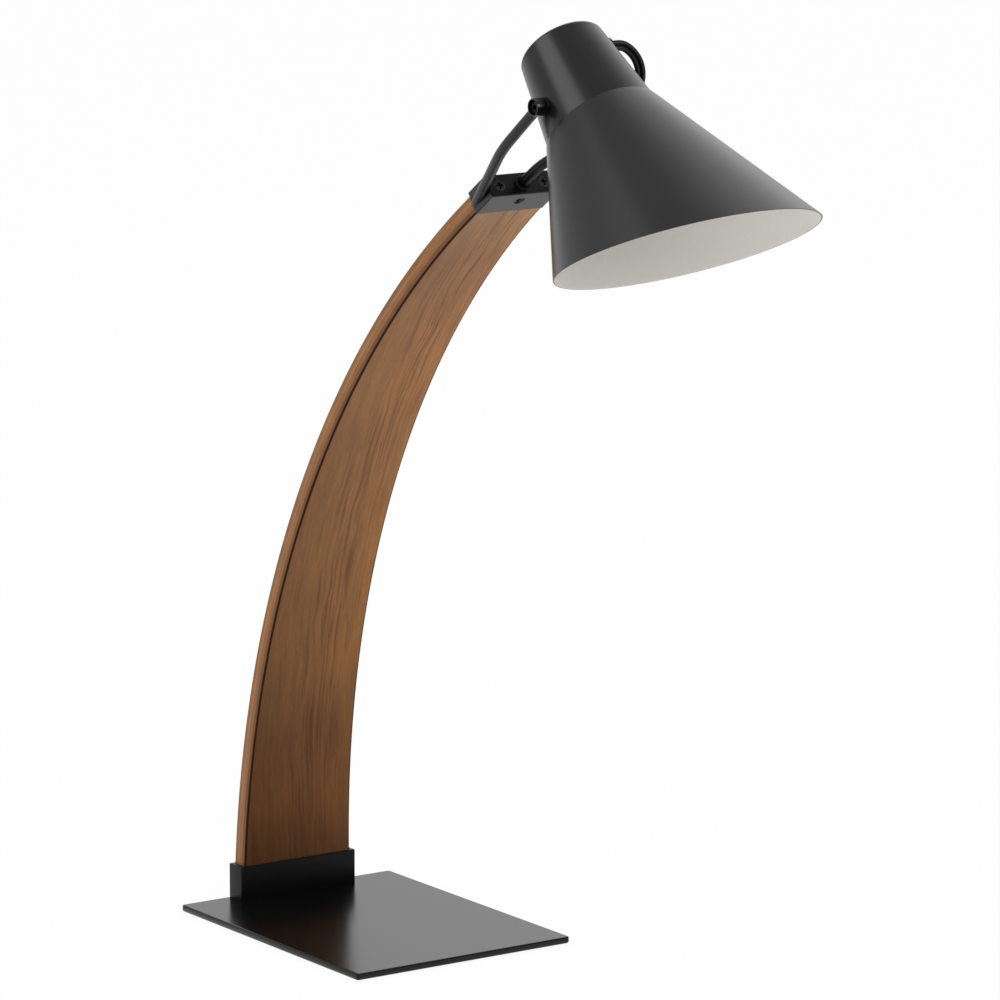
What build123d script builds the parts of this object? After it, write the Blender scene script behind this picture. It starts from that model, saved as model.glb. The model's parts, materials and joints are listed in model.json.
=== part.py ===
from build123d import *
from math import asin, atan, cos, degrees, radians, sin, sqrt, tan
import os

os.makedirs("parts", exist_ok=True)

# Table lamp: a flat steel base, a bent plywood arm that leans forward, and a steel shade that
# tilts between two round rods. +X is the way the arm leans, +Z is up, and the origin is the
# middle of the rest face. All but the lead is symmetric about the XZ plane.

# Base plate, pad and foot socket
base_length = 194.0
base_width = 150.0
base_thickness = 4.0
base_corner_radius = 2.0
base_edge_break = 0.8
pad_thickness = 1.0
pad_inset = 4.0
socket_height = 21.0
socket_wall = 1.25
socket_side_wall = 2.5
socket_floor = 2.0
socket_edge_break = 0.4
foot_clearance = 0.05

# Arm: one bend radius, measured on the hollow front face
arm_radius = 536.7
arm_sweep = 54.7
arm_thickness = 11.34
arm_foot_width = 76.2
arm_top_width = 45.0
arm_straight_foot = 2.9
arm_arris = 0.8
groove_width = 6.4
cover_width = 12.0
cover_thickness = 2.0
cover_clearance = 0.05

# Lead: one twin lead, inside the arm and free between the arm and the shade
lead_diameter = 6.0
lead_clearance = 0.1
lead_depth = 6.15

# Inlet bush in the rear of the foot socket
inlet_height = 10.0
inlet_diameter = 7.0
inlet_flange_diameter = 9.5
inlet_flange_thickness = 1.6
inlet_block_height = 8.0
inlet_bore = 5.0
inlet_bore_depth = 8.5
inlet_clearance = 0.1

# Wood screws under the base
base_screw_spacing = 44.0
base_screw_diameter = 4.5
base_screw_head = 8.6
base_screw_head_height = 2.4
base_screw_length = 24.0
screw_clearance = 0.1

# Steel cap on the arm's upper end
cap_length = 19.8
cap_wall = 2.0
cap_end_wall = 2.0
cap_proud = 0.4
cap_clearance = 0.1
cap_edge_radius = 0.8
cap_screw_spacing = 30.0
cap_screw_depth = 6.4
cap_screw_diameter = 3.5
cap_screw_head = 7.0
cap_screw_head_height = 1.9
cap_screw_length = 15.0
front_screw_height = 11.6
front_screw_diameter = 3.5
front_screw_head = 7.0
front_screw_head_height = 1.9
front_screw_length = 3.1
recess_reach = 4.0
recess_width = 0.9
recess_depth = 1.1
bush_diameter = 7.6
bush_flange_diameter = 9.4
bush_flange_thickness = 1.6
bush_clearance = 0.05

# Pivot, rods and sleeves, with reach and rise measured from the arm's upper end
pivot_reach = 78.3
pivot_rise = 68.28
rod_diameter = 6.0
rod_offset = 34.8
rod_bend_reach = 42.8
rod_bend_rise = 40.68
rod_bend_radius = 90.0
rod_weld_reach = 3.8
rod_weld_rise = 10.08
rod_tail = 8.0
sleeve_diameter = 10.0
sleeve_inner_face = 32.0
sleeve_length = 6.65
sleeve_bore_clearance = 0.06
sleeve_counterbore = 8.6
sleeve_counterbore_depth = 4.5
sleeve_edge_break = 0.3
weld_clearance = 0.02

# Shade: a tapered neck and a cone, both round the shade's axis, with a mouth cut at a slant
shade_tilt = 45.72
shade_sheet = 1.0
joint_distance = 12.9
joint_radius = 32.44
neck_slope = 0.150
cone_slope = 0.401
neck_length = 52.4
neck_overlap = 8.0
neck_edge_radius = 3.0
mouth_distance = 96.26
mouth_cut_angle = 23.58
seam_clearance = 0.02

# Pivot fasteners
pivot_screw_diameter = 4.0
pivot_screw_head = 6.2
pivot_screw_head_height = 3.0
pivot_screw_tail = 1.2
pivot_hex = 3.0
pivot_hex_depth = 1.8
pivot_hole_clearance = 0.1
head_seat_clearance = 0.05
washer_gap = 0.1
pivot_nut_flats = 7.0
pivot_nut_thickness = 3.2

# Gland in the side of the neck
gland_distance = 44.0
gland_turn = 19.8
gland_diameter = 8.0
gland_flange_diameter = 10.0
gland_flange_thickness = 1.9
gland_inner_flange = 1.4
gland_lead_end = 1.0

# Lampholder and bulb, at distances along the shade's axis from the pivot
nipple_diameter = 10.0
nipple_bore = 7.5
nipple_clearance = 0.05
nipple_proud = 1.5
top_nut_flats = 17.0
top_nut_thickness = 3.5
lock_nut_flats = 14.0
lock_nut_thickness = 3.0
holder_cap_diameter = 36.0
holder_cap_length = 15.5
holder_cap_wall = 2.5
holder_cap_top = 3.0
holder_cap_edge_radius = 2.5
holder_diameter = 38.0
holder_length = 34.0
holder_floor = 4.0
shell_diameter = 28.6
shell_wall = 0.4
shell_clearance = 0.1
shell_recess = 2.0
shell_hole = 12.0
contact_diameter = 6.4
contact_height = 3.1
bulb_contact_diameter = 8.0
bulb_contact_height = 1.2
bulb_cap_diameter = 26.4
bulb_cap_length = 24.5
bulb_cap_foot = 3.5
bulb_neck_radius = 12.9
bulb_radius = 25.0
bulb_fillet = 25.0
bulb_neck_length = 4.5
bulb_wall = 0.8

# Heights and faces that follow from the sizes above
plate_top = pad_thickness + base_thickness
foot_z = plate_top + socket_floor
bend_z = foot_z + arm_straight_foot
socket_top = plate_top + socket_height
socket_rear = -base_length / 2
foot_rear = socket_rear + socket_wall + foot_clearance
foot_front = foot_rear + arm_thickness
bend_x = foot_front + arm_radius
bend = radians(arm_sweep)
chord = 2 * arm_radius * sin(bend / 2)
taper = (arm_foot_width - arm_top_width) / 2 / chord
foot_reach = arm_thickness * sin(bend / 2) + arm_straight_foot * cos(bend / 2)
socket_half = arm_foot_width / 2 + taper * foot_reach + foot_clearance
rise_in_socket = socket_top - bend_z
socket_front = bend_x - sqrt(arm_radius**2 - rise_in_socket**2) + foot_clearance
foot_middle = (foot_front + foot_rear) / 2
bend_axis = Axis((bend_x, 0, bend_z), (0, 1, 0))

# The arm's upper end: local X is outward through the arm, local Z goes on along it
end_plane = Plane(
    origin=(bend_x - arm_radius * cos(bend), 0, bend_z + arm_radius * sin(bend)),
    x_dir=(-cos(bend), 0, sin(bend)),
    z_dir=(sin(bend), 0, cos(bend)),
)
end_axis = Axis(end_plane.origin, end_plane.z_dir)
cap_face = end_plane.offset(cap_length)
cap_rebate = cap_wall - cap_proud + cap_clearance
tenon_length = cap_length - cap_end_wall - cap_clearance
groove_floor = lead_depth - lead_diameter / 2 - lead_clearance

# The shade's own directions: its axis runs from the neck to the mouth
tilt = radians(shade_tilt)
pivot = end_plane.origin + Vector(pivot_reach, 0, pivot_rise)
axis_dir = Vector(sin(tilt), 0, -cos(tilt))
front_dir = Vector(cos(tilt), 0, sin(tilt))
shade_axis = Axis(pivot, axis_dir)
profile_plane = Plane(origin=pivot, x_dir=front_dir, z_dir=(0, 1, 0))
axis_plane = Plane(origin=pivot, x_dir=front_dir, z_dir=axis_dir)
pivot_plane = Plane(origin=pivot, x_dir=(1, 0, 0), z_dir=(0, 1, 0))
neck_top = joint_distance - neck_length
neck_end = joint_distance + neck_overlap
neck_wall = shade_sheet * sqrt(1 + neck_slope**2)
cone_wall = shade_sheet * sqrt(1 + cone_slope**2)
seam = joint_distance + (cone_wall + seam_clearance) / (cone_slope - neck_slope)


def neck_radius(s):
    return joint_radius + neck_slope * (s - joint_distance)


def cone_radius(s):
    return joint_radius + cone_slope * (s - joint_distance)


# Base plate with softened corners and edges, drilled from beneath for the foot's screws
screw_spots = [
    (foot_middle, -base_screw_spacing / 2),
    (foot_middle, base_screw_spacing / 2),
]
with BuildPart() as base_plate:
    with BuildSketch(Plane.XY.offset(pad_thickness)):
        RectangleRounded(base_length, base_width, base_corner_radius)
    extrude(amount=base_thickness)
    chamfer(base_plate.faces().sort_by(Axis.Z)[-1].edges(), base_edge_break)
    with Locations(*[(x, y, pad_thickness) for x, y in screw_spots]):
        Cylinder(
            base_screw_diameter / 2 + screw_clearance,
            base_thickness,
            align=(Align.CENTER, Align.CENTER, Align.MIN),
            mode=Mode.SUBTRACT,
        )
        Cone(
            base_screw_head / 2 + screw_clearance,
            base_screw_diameter / 2 + screw_clearance,
            base_screw_head_height,
            align=(Align.CENTER, Align.CENTER, Align.MIN),
            mode=Mode.SUBTRACT,
        )
base_plate.part.label = "base_plate"
export_step(base_plate.part, "parts/base_plate.step")

# Felt pad under the plate
with BuildPart() as base_pad:
    with BuildSketch():
        RectangleRounded(
            base_length - 2 * pad_inset,
            base_width - 2 * pad_inset,
            base_corner_radius,
        )
    extrude(amount=pad_thickness)
base_pad.part.label = "base_pad"
export_step(base_pad.part, "parts/base_pad.step")

# Foot socket: an open box of folded steel, flush with the plate's rear edge
inlet_z = plate_top + inlet_height
with BuildPart() as foot_socket:
    with BuildSketch(Plane.XY.offset(plate_top)):
        with Locations(((socket_rear + socket_front + socket_wall) / 2, 0)):
            Rectangle(
                socket_front + socket_wall - socket_rear,
                2 * (socket_half + socket_side_wall),
            )
    extrude(amount=socket_height)
    chamfer(foot_socket.edges().filter_by(Axis.Z), socket_edge_break)
    with BuildSketch(Plane.XY.offset(foot_z)):
        with Locations(((socket_rear + socket_wall + socket_front) / 2, 0)):
            Rectangle(socket_front - socket_rear - socket_wall, 2 * socket_half)
    extrude(amount=socket_height, mode=Mode.SUBTRACT)
    rim = foot_socket.faces().sort_by(Axis.Z)[-1]
    chamfer(rim.outer_wire().edges(), socket_edge_break)
    with Locations(*[(x, y, plate_top) for x, y in screw_spots]):
        Cylinder(
            base_screw_diameter / 2 + screw_clearance,
            socket_floor,
            align=(Align.CENTER, Align.CENTER, Align.MIN),
            mode=Mode.SUBTRACT,
        )
    with BuildSketch(Plane.YZ.offset(socket_rear)):
        with Locations((0, inlet_z)):
            Circle(inlet_diameter / 2 + inlet_clearance)
    extrude(amount=socket_wall, mode=Mode.SUBTRACT)
foot_socket.part.label = "foot_socket"
export_step(foot_socket.part, "parts/foot_socket.step")

# Countersunk wood screws, up through plate and socket into the foot of the arm
with BuildPart() as base_screws:
    with Locations(*[(x, y, pad_thickness) for x, y in screw_spots]):
        Cylinder(
            base_screw_diameter / 2,
            base_screw_length - base_screw_diameter,
            align=(Align.CENTER, Align.CENTER, Align.MIN),
        )
        Cone(
            base_screw_head / 2,
            base_screw_diameter / 2,
            base_screw_head_height,
            align=(Align.CENTER, Align.CENTER, Align.MIN),
        )
    tip_z = pad_thickness + base_screw_length - base_screw_diameter
    with Locations(*[(x, y, tip_z) for x, y in screw_spots]):
        Cone(
            base_screw_diameter / 2,
            0.2,
            base_screw_diameter,
            align=(Align.CENTER, Align.CENTER, Align.MIN),
        )
base_screws.part.label = "base_screws"
export_step(base_screws.part, "parts/base_screws.step")

# Arm: side profile between two arcs, cut to a straight taper seen square to its chord, with
# softened long edges, a straight tenon for the cap, and a stepped groove in its rear face
with BuildPart() as arm_board:
    with BuildSketch(Plane.XZ):
        with BuildLine():
            Line((foot_front, foot_z), (foot_front, bend_z))
            CenterArc((bend_x, bend_z), arm_radius, 180, -arm_sweep)
            Line(
                (bend_x - arm_radius * cos(bend), bend_z + arm_radius * sin(bend)),
                (
                    bend_x - (arm_radius + arm_thickness) * cos(bend),
                    bend_z + (arm_radius + arm_thickness) * sin(bend),
                ),
            )
            CenterArc((bend_x, bend_z), arm_radius + arm_thickness, 180, -arm_sweep)
            Line((foot_rear, bend_z), (foot_rear, foot_z))
            Line((foot_rear, foot_z), (foot_front, foot_z))
        make_face()
    extrude(amount=arm_foot_width, both=True)
    chord_plane = Plane(
        origin=(foot_front, 0, bend_z),
        x_dir=(sin(bend / 2), 0, cos(bend / 2)),
        z_dir=(-cos(bend / 2), 0, sin(bend / 2)),
    )
    reach = chord / 10
    with BuildSketch(chord_plane):
        low = arm_foot_width / 2 + taper * reach
        high = arm_top_width / 2 - taper * reach
        with BuildLine():
            Polyline(
                (-reach, -low),
                (chord + reach, -high),
                (chord + reach, high),
                (-reach, low),
                close=True,
            )
        make_face()
    extrude(amount=chord, both=True, mode=Mode.INTERSECT)
    sides = [e for e in arm_board.edges() if abs(e.center().Y) > arm_top_width / 4]
    ends = arm_board.faces().sort_by(Axis.Z)[0].edges()
    ends += arm_board.faces().sort_by(end_axis)[-1].edges()
    fillet([e for e in sides if e not in ends], arm_arris)
    with BuildSketch(end_plane):
        with Locations(((cap_rebate + arm_thickness) / 2, 0)):
            Rectangle(arm_thickness - cap_rebate, arm_top_width - 2 * cap_rebate)
    extrude(amount=tenon_length)
    groove_depth = arm_thickness - groove_floor
    rebate_depth = cover_thickness + cover_clearance
    for width, depth, top in (
        (groove_width, groove_depth, tenon_length),
        (cover_width + 2 * cover_clearance, rebate_depth, 0),
    ):
        with BuildSketch(Plane.XY.offset(bend_z)):
            with Locations((foot_rear + depth / 2 - 0.5, 0)):
                Rectangle(depth + 1, width)
        revolve(axis=bend_axis, revolution_arc=arm_sweep, mode=Mode.SUBTRACT)
        with BuildSketch(Plane.XY.offset(foot_z)):
            with Locations((foot_rear + depth / 2 - 0.5, 0)):
                Rectangle(depth + 1, width)
        extrude(amount=arm_straight_foot, mode=Mode.SUBTRACT)
        if top > 0:
            with BuildSketch(end_plane):
                with Locations((arm_thickness - depth / 2 + 0.5, 0)):
                    Rectangle(depth + 1, width)
            extrude(amount=top, mode=Mode.SUBTRACT)
    with Locations(*[(x, y, foot_z) for x, y in screw_spots]):
        Cylinder(
            base_screw_diameter / 2 + screw_clearance,
            base_screw_length,
            align=(Align.CENTER, Align.CENTER, Align.MIN),
            mode=Mode.SUBTRACT,
        )
    cap_screw_spots = [
        (cap_screw_depth, -cap_screw_spacing / 2),
        (cap_screw_depth, cap_screw_spacing / 2),
    ]
    with BuildSketch(end_plane.offset(tenon_length)):
        with Locations(*cap_screw_spots):
            Circle(cap_screw_diameter / 2 + screw_clearance)
    extrude(amount=-cap_screw_length, mode=Mode.SUBTRACT)
    front_plane = Plane(
        origin=end_plane.from_local_coords((-cap_proud, 0, front_screw_height)),
        x_dir=end_plane.z_dir,
        z_dir=end_plane.x_dir * -1,
    )
    with BuildSketch(front_plane):
        Circle(front_screw_diameter / 2 + screw_clearance)
    extrude(amount=-(front_screw_length + screw_clearance), mode=Mode.SUBTRACT)
arm_board.part.label = "arm_board"
export_step(arm_board.part, "parts/arm_board.step")

# Wood strip that closes the groove, flush with the arm's rear face
cover_front = foot_rear + cover_thickness
with BuildPart() as arm_cord_cover:
    with BuildSketch(Plane.XY.offset(bend_z)):
        with Locations((foot_rear + cover_thickness / 2, 0)):
            Rectangle(cover_thickness, cover_width)
    revolve(axis=bend_axis, revolution_arc=arm_sweep)
    with BuildSketch(Plane.XY.offset(foot_z)):
        with Locations((foot_rear + cover_thickness / 2, 0)):
            Rectangle(cover_thickness, cover_width)
    extrude(amount=arm_straight_foot)
    with BuildSketch(Plane.YZ.offset(foot_rear - 1)):
        with Locations((0, inlet_z)):
            Circle(inlet_diameter / 2 + inlet_clearance)
    extrude(amount=cover_thickness + 2, mode=Mode.SUBTRACT)
arm_cord_cover.part.label = "arm_cord_cover"
export_step(arm_cord_cover.part, "parts/arm_cord_cover.step")

# Inlet bush: flange outside the socket, shank through wall and strip, block in the groove
block_rear = cover_front + inlet_clearance
block_front = foot_front - groove_floor - inlet_clearance
with BuildPart() as mains_inlet:
    with BuildSketch(Plane.YZ.offset(socket_rear - inlet_flange_thickness)):
        with Locations((0, inlet_z)):
            Circle(inlet_flange_diameter / 2)
    extrude(amount=inlet_flange_thickness)
    chamfer(mains_inlet.edges().sort_by(Axis.X)[0], inlet_flange_thickness / 3)
    with BuildSketch(Plane.YZ.offset(socket_rear)):
        with Locations((0, inlet_z)):
            Circle(inlet_diameter / 2)
    extrude(amount=cover_front - socket_rear)
    with BuildSketch(Plane.YZ.offset(cover_front)):
        with Locations((0, inlet_z)):
            Circle(groove_width / 2 - inlet_clearance)
    extrude(amount=block_rear - cover_front)
    with BuildSketch(Plane.YZ.offset(block_rear)):
        with Locations((0, inlet_z)):
            Rectangle(groove_width - 2 * inlet_clearance, inlet_block_height)
    extrude(amount=block_front - block_rear)
    with BuildSketch(Plane.YZ.offset(socket_rear - inlet_flange_thickness)):
        with Locations((0, inlet_z)):
            Circle(inlet_bore / 2)
    extrude(amount=inlet_bore_depth, mode=Mode.SUBTRACT)
mains_inlet.part.label = "mains_inlet"
export_step(mains_inlet.part, "parts/mains_inlet.step")

# Lead inside the arm, from the inlet bush to the cap's end wall
lead_start_z = inlet_z + inlet_block_height / 2 + lead_clearance
start_angle = asin((lead_start_z - bend_z) / (arm_radius + lead_depth))
start_plane = Plane(
    origin=(bend_x, 0, bend_z),
    x_dir=(-cos(start_angle), 0, sin(start_angle)),
    z_dir=(sin(start_angle), 0, cos(start_angle)),
)
with BuildPart() as arm_lead:
    with BuildSketch(start_plane):
        with Locations((arm_radius + lead_depth, 0)):
            Circle(lead_diameter / 2)
    revolve(axis=bend_axis, revolution_arc=arm_sweep - degrees(start_angle))
    with BuildSketch(end_plane):
        with Locations((lead_depth, 0)):
            Circle(lead_diameter / 2)
    extrude(amount=cap_length - cap_end_wall)
arm_lead.part.label = "arm_lead"
export_step(arm_lead.part, "parts/arm_lead.step")

# Steel cap: a box open at the bottom, with a closed end, over the arm's tenon
cap_half = arm_top_width / 2 + cap_proud
cap_rear = arm_thickness + cap_clearance + cap_wall
with BuildPart() as end_cap:
    with BuildSketch(end_plane):
        with Locations(((cap_rear - cap_proud) / 2, 0)):
            Rectangle(cap_rear + cap_proud, 2 * cap_half)
    extrude(amount=cap_length)
    bottom = end_cap.faces().sort_by(end_axis)[0].edges()
    fillet([e for e in end_cap.edges() if e not in bottom], cap_edge_radius)
    with BuildSketch(end_plane):
        with Locations(((cap_rear - cap_proud) / 2, 0)):
            Rectangle(
                cap_rear + cap_proud - 2 * cap_wall,
                2 * cap_half - 2 * cap_wall,
            )
    extrude(amount=cap_length - cap_end_wall, mode=Mode.SUBTRACT)
    with BuildSketch(cap_face):
        with Locations(*cap_screw_spots):
            Circle(cap_screw_diameter / 2 + screw_clearance)
        with Locations((lead_depth, 0)):
            Circle(bush_diameter / 2 + bush_clearance)
    extrude(amount=-cap_end_wall, mode=Mode.SUBTRACT)
    with Locations(*[cap_face * Location((x, y, 0)) for x, y in cap_screw_spots]):
        Cone(
            cap_screw_diameter / 2 + screw_clearance,
            cap_screw_head / 2 + screw_clearance,
            cap_screw_head_height,
            align=(Align.CENTER, Align.CENTER, Align.MAX),
            mode=Mode.SUBTRACT,
        )
    with Locations(Location(front_plane)):
        Cone(
            front_screw_diameter / 2 + screw_clearance,
            front_screw_head / 2 + screw_clearance,
            front_screw_head_height,
            align=(Align.CENTER, Align.CENTER, Align.MAX),
            mode=Mode.SUBTRACT,
        )
        Cylinder(
            front_screw_diameter / 2 + screw_clearance,
            cap_wall,
            align=(Align.CENTER, Align.CENTER, Align.MAX),
            mode=Mode.SUBTRACT,
        )
end_cap.part.label = "end_cap"
export_step(end_cap.part, "parts/end_cap.step")

# Two countersunk screws with cross recesses in the cap's end
with BuildPart() as end_cap_screws:
    with Locations(*[cap_face * Location((x, y, 0)) for x, y in cap_screw_spots]):
        Cylinder(
            cap_screw_diameter / 2,
            cap_screw_length,
            align=(Align.CENTER, Align.CENTER, Align.MAX),
        )
        Cone(
            cap_screw_diameter / 2,
            cap_screw_head / 2,
            cap_screw_head_height,
            align=(Align.CENTER, Align.CENTER, Align.MAX),
        )
        Box(
            recess_width,
            recess_reach,
            recess_depth,
            align=(Align.CENTER, Align.CENTER, Align.MAX),
            mode=Mode.SUBTRACT,
        )
        Box(
            recess_reach,
            recess_width,
            recess_depth,
            align=(Align.CENTER, Align.CENTER, Align.MAX),
            mode=Mode.SUBTRACT,
        )
end_cap_screws.part.label = "end_cap_screws"
export_step(end_cap_screws.part, "parts/end_cap_screws.step")

# One short screw in the cap's front
with BuildPart() as front_cap_screw:
    with Locations(Location(front_plane)):
        Cylinder(
            front_screw_diameter / 2,
            front_screw_length,
            align=(Align.CENTER, Align.CENTER, Align.MAX),
        )
        Cone(
            front_screw_diameter / 2,
            front_screw_head / 2,
            front_screw_head_height,
            align=(Align.CENTER, Align.CENTER, Align.MAX),
        )
        Box(
            recess_width,
            recess_reach,
            recess_depth,
            align=(Align.CENTER, Align.CENTER, Align.MAX),
            mode=Mode.SUBTRACT,
        )
        Box(
            recess_reach,
            recess_width,
            recess_depth,
            align=(Align.CENTER, Align.CENTER, Align.MAX),
            mode=Mode.SUBTRACT,
        )
front_cap_screw.part.label = "front_cap_screw"
export_step(front_cap_screw.part, "parts/front_cap_screw.step")

# Rubber bush in the cap's middle hole, round the lead
with BuildPart() as lead_bush:
    with BuildSketch(cap_face):
        with Locations((lead_depth, 0)):
            Circle(bush_flange_diameter / 2)
    extrude(amount=bush_flange_thickness)
    outer_rim = lead_bush.edges().sort_by(end_axis)[-1]
    chamfer(outer_rim, bush_flange_thickness / 3)
    with BuildSketch(cap_face):
        with Locations((lead_depth, 0)):
            Circle(bush_diameter / 2)
    extrude(amount=-cap_end_wall)
    with BuildSketch(cap_face.offset(-cap_end_wall)):
        with Locations((lead_depth, 0)):
            Circle(lead_diameter / 2 + bush_clearance)
    extrude(amount=cap_end_wall + bush_flange_thickness, mode=Mode.SUBTRACT)
lead_bush.part.label = "lead_bush"
export_step(lead_bush.part, "parts/lead_bush.step")

# Yoke rods: bent inward, ground flat along the cap's sides and coped round the sleeves
rod_top = pivot + Vector(0, rod_offset, 0)
rod_bend = end_plane.origin + Vector(rod_bend_reach, rod_offset, rod_bend_rise)
rod_weld = end_plane.origin + Vector(rod_weld_reach, cap_half, rod_weld_rise)
rod_foot = rod_weld + (rod_weld - rod_bend).normalized() * rod_tail
with BuildPart() as yoke_rod_right:
    with BuildLine() as rod_path:
        FilletPolyline(rod_top, rod_bend, rod_foot, radius=rod_bend_radius)
    with BuildSketch(Plane(origin=rod_path.line @ 0, z_dir=rod_path.line % 0)):
        Circle(rod_diameter / 2)
    sweep()
    split(bisect_by=Plane.XZ.offset(-cap_half), keep=Keep.BOTTOM)
    with Locations(Location(pivot_plane)):
        Cylinder(
            sleeve_diameter / 2 + weld_clearance,
            4 * rod_offset,
            mode=Mode.SUBTRACT,
        )
with BuildPart() as yoke_rod_left:
    add(mirror(yoke_rod_right.part, about=Plane.XZ))
yoke_rod_right.part.label = "yoke_rod_right"
export_step(yoke_rod_right.part, "parts/yoke_rod_right.step")
yoke_rod_left.part.label = "yoke_rod_left"
export_step(yoke_rod_left.part, "parts/yoke_rod_left.step")

# Pivot sleeves, counterbored from outside for the heads of the pivot screws
sleeve_outer_face = sleeve_inner_face + sleeve_length
counterbore_floor = sleeve_outer_face - sleeve_counterbore_depth
with BuildPart() as pivot_sleeve_right:
    with BuildSketch(pivot_plane.offset(sleeve_inner_face)):
        Circle(sleeve_diameter / 2)
    extrude(amount=sleeve_length)
    chamfer(pivot_sleeve_right.edges().filter_by(GeomType.CIRCLE), sleeve_edge_break)
    with BuildSketch(pivot_plane.offset(sleeve_inner_face)):
        Circle(pivot_screw_diameter / 2 + sleeve_bore_clearance)
    extrude(amount=sleeve_length, mode=Mode.SUBTRACT)
    with BuildSketch(pivot_plane.offset(counterbore_floor)):
        Circle(sleeve_counterbore / 2)
    extrude(amount=sleeve_counterbore_depth, mode=Mode.SUBTRACT)
with BuildPart() as pivot_sleeve_left:
    add(mirror(pivot_sleeve_right.part, about=Plane.XZ))
pivot_sleeve_right.part.label = "pivot_sleeve_right"
export_step(pivot_sleeve_right.part, "parts/pivot_sleeve_right.step")
pivot_sleeve_left.part.label = "pivot_sleeve_left"
export_step(pivot_sleeve_left.part, "parts/pivot_sleeve_left.step")

# Neck of the shade: a tapered cup with a closed, rounded top and an open lower end
gland_s = joint_distance - gland_distance
gland_dir = (
    Vector(0, 1, 0) * cos(radians(gland_turn)) + front_dir * sin(radians(gland_turn))
)
gland_face = pivot + axis_dir * gland_s + gland_dir * neck_radius(gland_s)
gland_plane = Plane(origin=gland_face, x_dir=axis_dir, z_dir=gland_dir)
with BuildPart() as shade_neck:
    with BuildSketch(profile_plane) as neck_outline:
        with BuildLine():
            Polyline(
                (0, neck_top),
                (neck_radius(neck_top), neck_top),
                (neck_radius(neck_end), neck_end),
                (0, neck_end),
                close=True,
            )
        make_face()
        rim_corner = neck_outline.vertices().group_by(Axis.Y)[0].sort_by(Axis.X)[-1]
        fillet(rim_corner, neck_edge_radius)
    revolve(axis=shade_axis)
    with BuildSketch(profile_plane) as neck_hollow:
        with BuildLine():
            Polyline(
                (0, neck_top + shade_sheet),
                (neck_radius(neck_top + shade_sheet) - neck_wall, neck_top + shade_sheet),
                (neck_radius(neck_end) - neck_wall, neck_end),
                (0, neck_end),
                close=True,
            )
        make_face()
        rim_corner = neck_hollow.vertices().group_by(Axis.Y)[0].sort_by(Axis.X)[-1]
        fillet(rim_corner, max(neck_edge_radius - shade_sheet, neck_edge_radius / 4))
    revolve(axis=shade_axis, mode=Mode.SUBTRACT)
    with BuildSketch(pivot_plane):
        Circle(pivot_screw_diameter / 2 + pivot_hole_clearance)
    extrude(amount=2 * joint_radius, both=True, mode=Mode.SUBTRACT)
    with BuildSketch(axis_plane.offset(neck_top)):
        Circle(nipple_diameter / 2 + nipple_clearance)
    extrude(amount=shade_sheet, mode=Mode.SUBTRACT)
    with BuildSketch(gland_plane):
        Circle(gland_diameter / 2 + bush_clearance)
    extrude(amount=4 * shade_sheet, both=True, mode=Mode.SUBTRACT)
shade_neck.part.label = "shade_neck"
export_step(shade_neck.part, "parts/shade_neck.step")

# Cone of the shade: it starts where it fits round the neck, and a slanted plane cuts its mouth
mouth_s = joint_distance + mouth_distance
mouth_angle = radians(shade_tilt - mouth_cut_angle)
mouth_plane = Plane(
    origin=pivot + axis_dir * mouth_s,
    x_dir=(cos(mouth_angle), 0, sin(mouth_angle)),
    z_dir=(sin(mouth_angle), 0, -cos(mouth_angle)),
)
mouth_slope = tan(radians(mouth_cut_angle))
front_reach = cone_radius(mouth_s) * mouth_slope / (1 - cone_slope * mouth_slope)
cone_end = mouth_s + front_reach + mouth_distance / 10
with BuildPart() as shade_cone:
    with BuildSketch(profile_plane):
        with BuildLine():
            Polyline(
                (cone_radius(seam), seam),
                (cone_radius(cone_end), cone_end),
                (cone_radius(cone_end) - cone_wall, cone_end),
                (cone_radius(seam) - cone_wall, seam),
                close=True,
            )
        make_face()
    revolve(axis=shade_axis)
    split(bisect_by=mouth_plane, keep=Keep.BOTTOM)
shade_cone.part.label = "shade_cone"
export_step(shade_cone.part, "parts/shade_cone.step")

# Socket-head pivot screws, free in the sleeves and fixed to the neck
screw_seat = counterbore_floor + head_seat_clearance
nut_inner_face = neck_radius(0) - neck_wall - pivot_nut_thickness
screw_tip = nut_inner_face - pivot_screw_tail
with BuildPart() as pivot_screws:
    with BuildSketch(pivot_plane.offset(screw_tip)):
        Circle(pivot_screw_diameter / 2)
    extrude(amount=screw_seat - screw_tip)
    with BuildSketch(pivot_plane.offset(screw_seat)):
        Circle(pivot_screw_head / 2)
    extrude(amount=pivot_screw_head_height)
    with BuildSketch(pivot_plane.offset(screw_seat + pivot_screw_head_height)):
        RegularPolygon(pivot_hex / 2, 6, major_radius=False)
    extrude(amount=-pivot_hex_depth, mode=Mode.SUBTRACT)
    mirror(about=Plane.XZ)
pivot_screws.part.label = "pivot_screws"
export_step(pivot_screws.part, "parts/pivot_screws.step")

# Saddle washers: flat towards the sleeves, hollowed to the neck's taper
saddle_face = sleeve_inner_face - washer_gap
near_s = -sleeve_diameter
far_s = joint_distance + sleeve_diameter
with BuildPart() as saddle_washers:
    with BuildSketch(pivot_plane.offset(saddle_face - sleeve_diameter)):
        Circle(sleeve_diameter / 2)
        Circle(pivot_screw_diameter / 2 + pivot_hole_clearance, mode=Mode.SUBTRACT)
    extrude(amount=sleeve_diameter)
    with BuildSketch(profile_plane):
        with BuildLine():
            Polyline(
                (0, near_s),
                (neck_radius(near_s) + seam_clearance, near_s),
                (neck_radius(far_s) + seam_clearance, far_s),
                (0, far_s),
                close=True,
            )
        make_face()
    revolve(axis=shade_axis, mode=Mode.SUBTRACT)
    mirror(about=Plane.XZ)
saddle_washers.part.label = "saddle_washers"
export_step(saddle_washers.part, "parts/saddle_washers.step")

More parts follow.
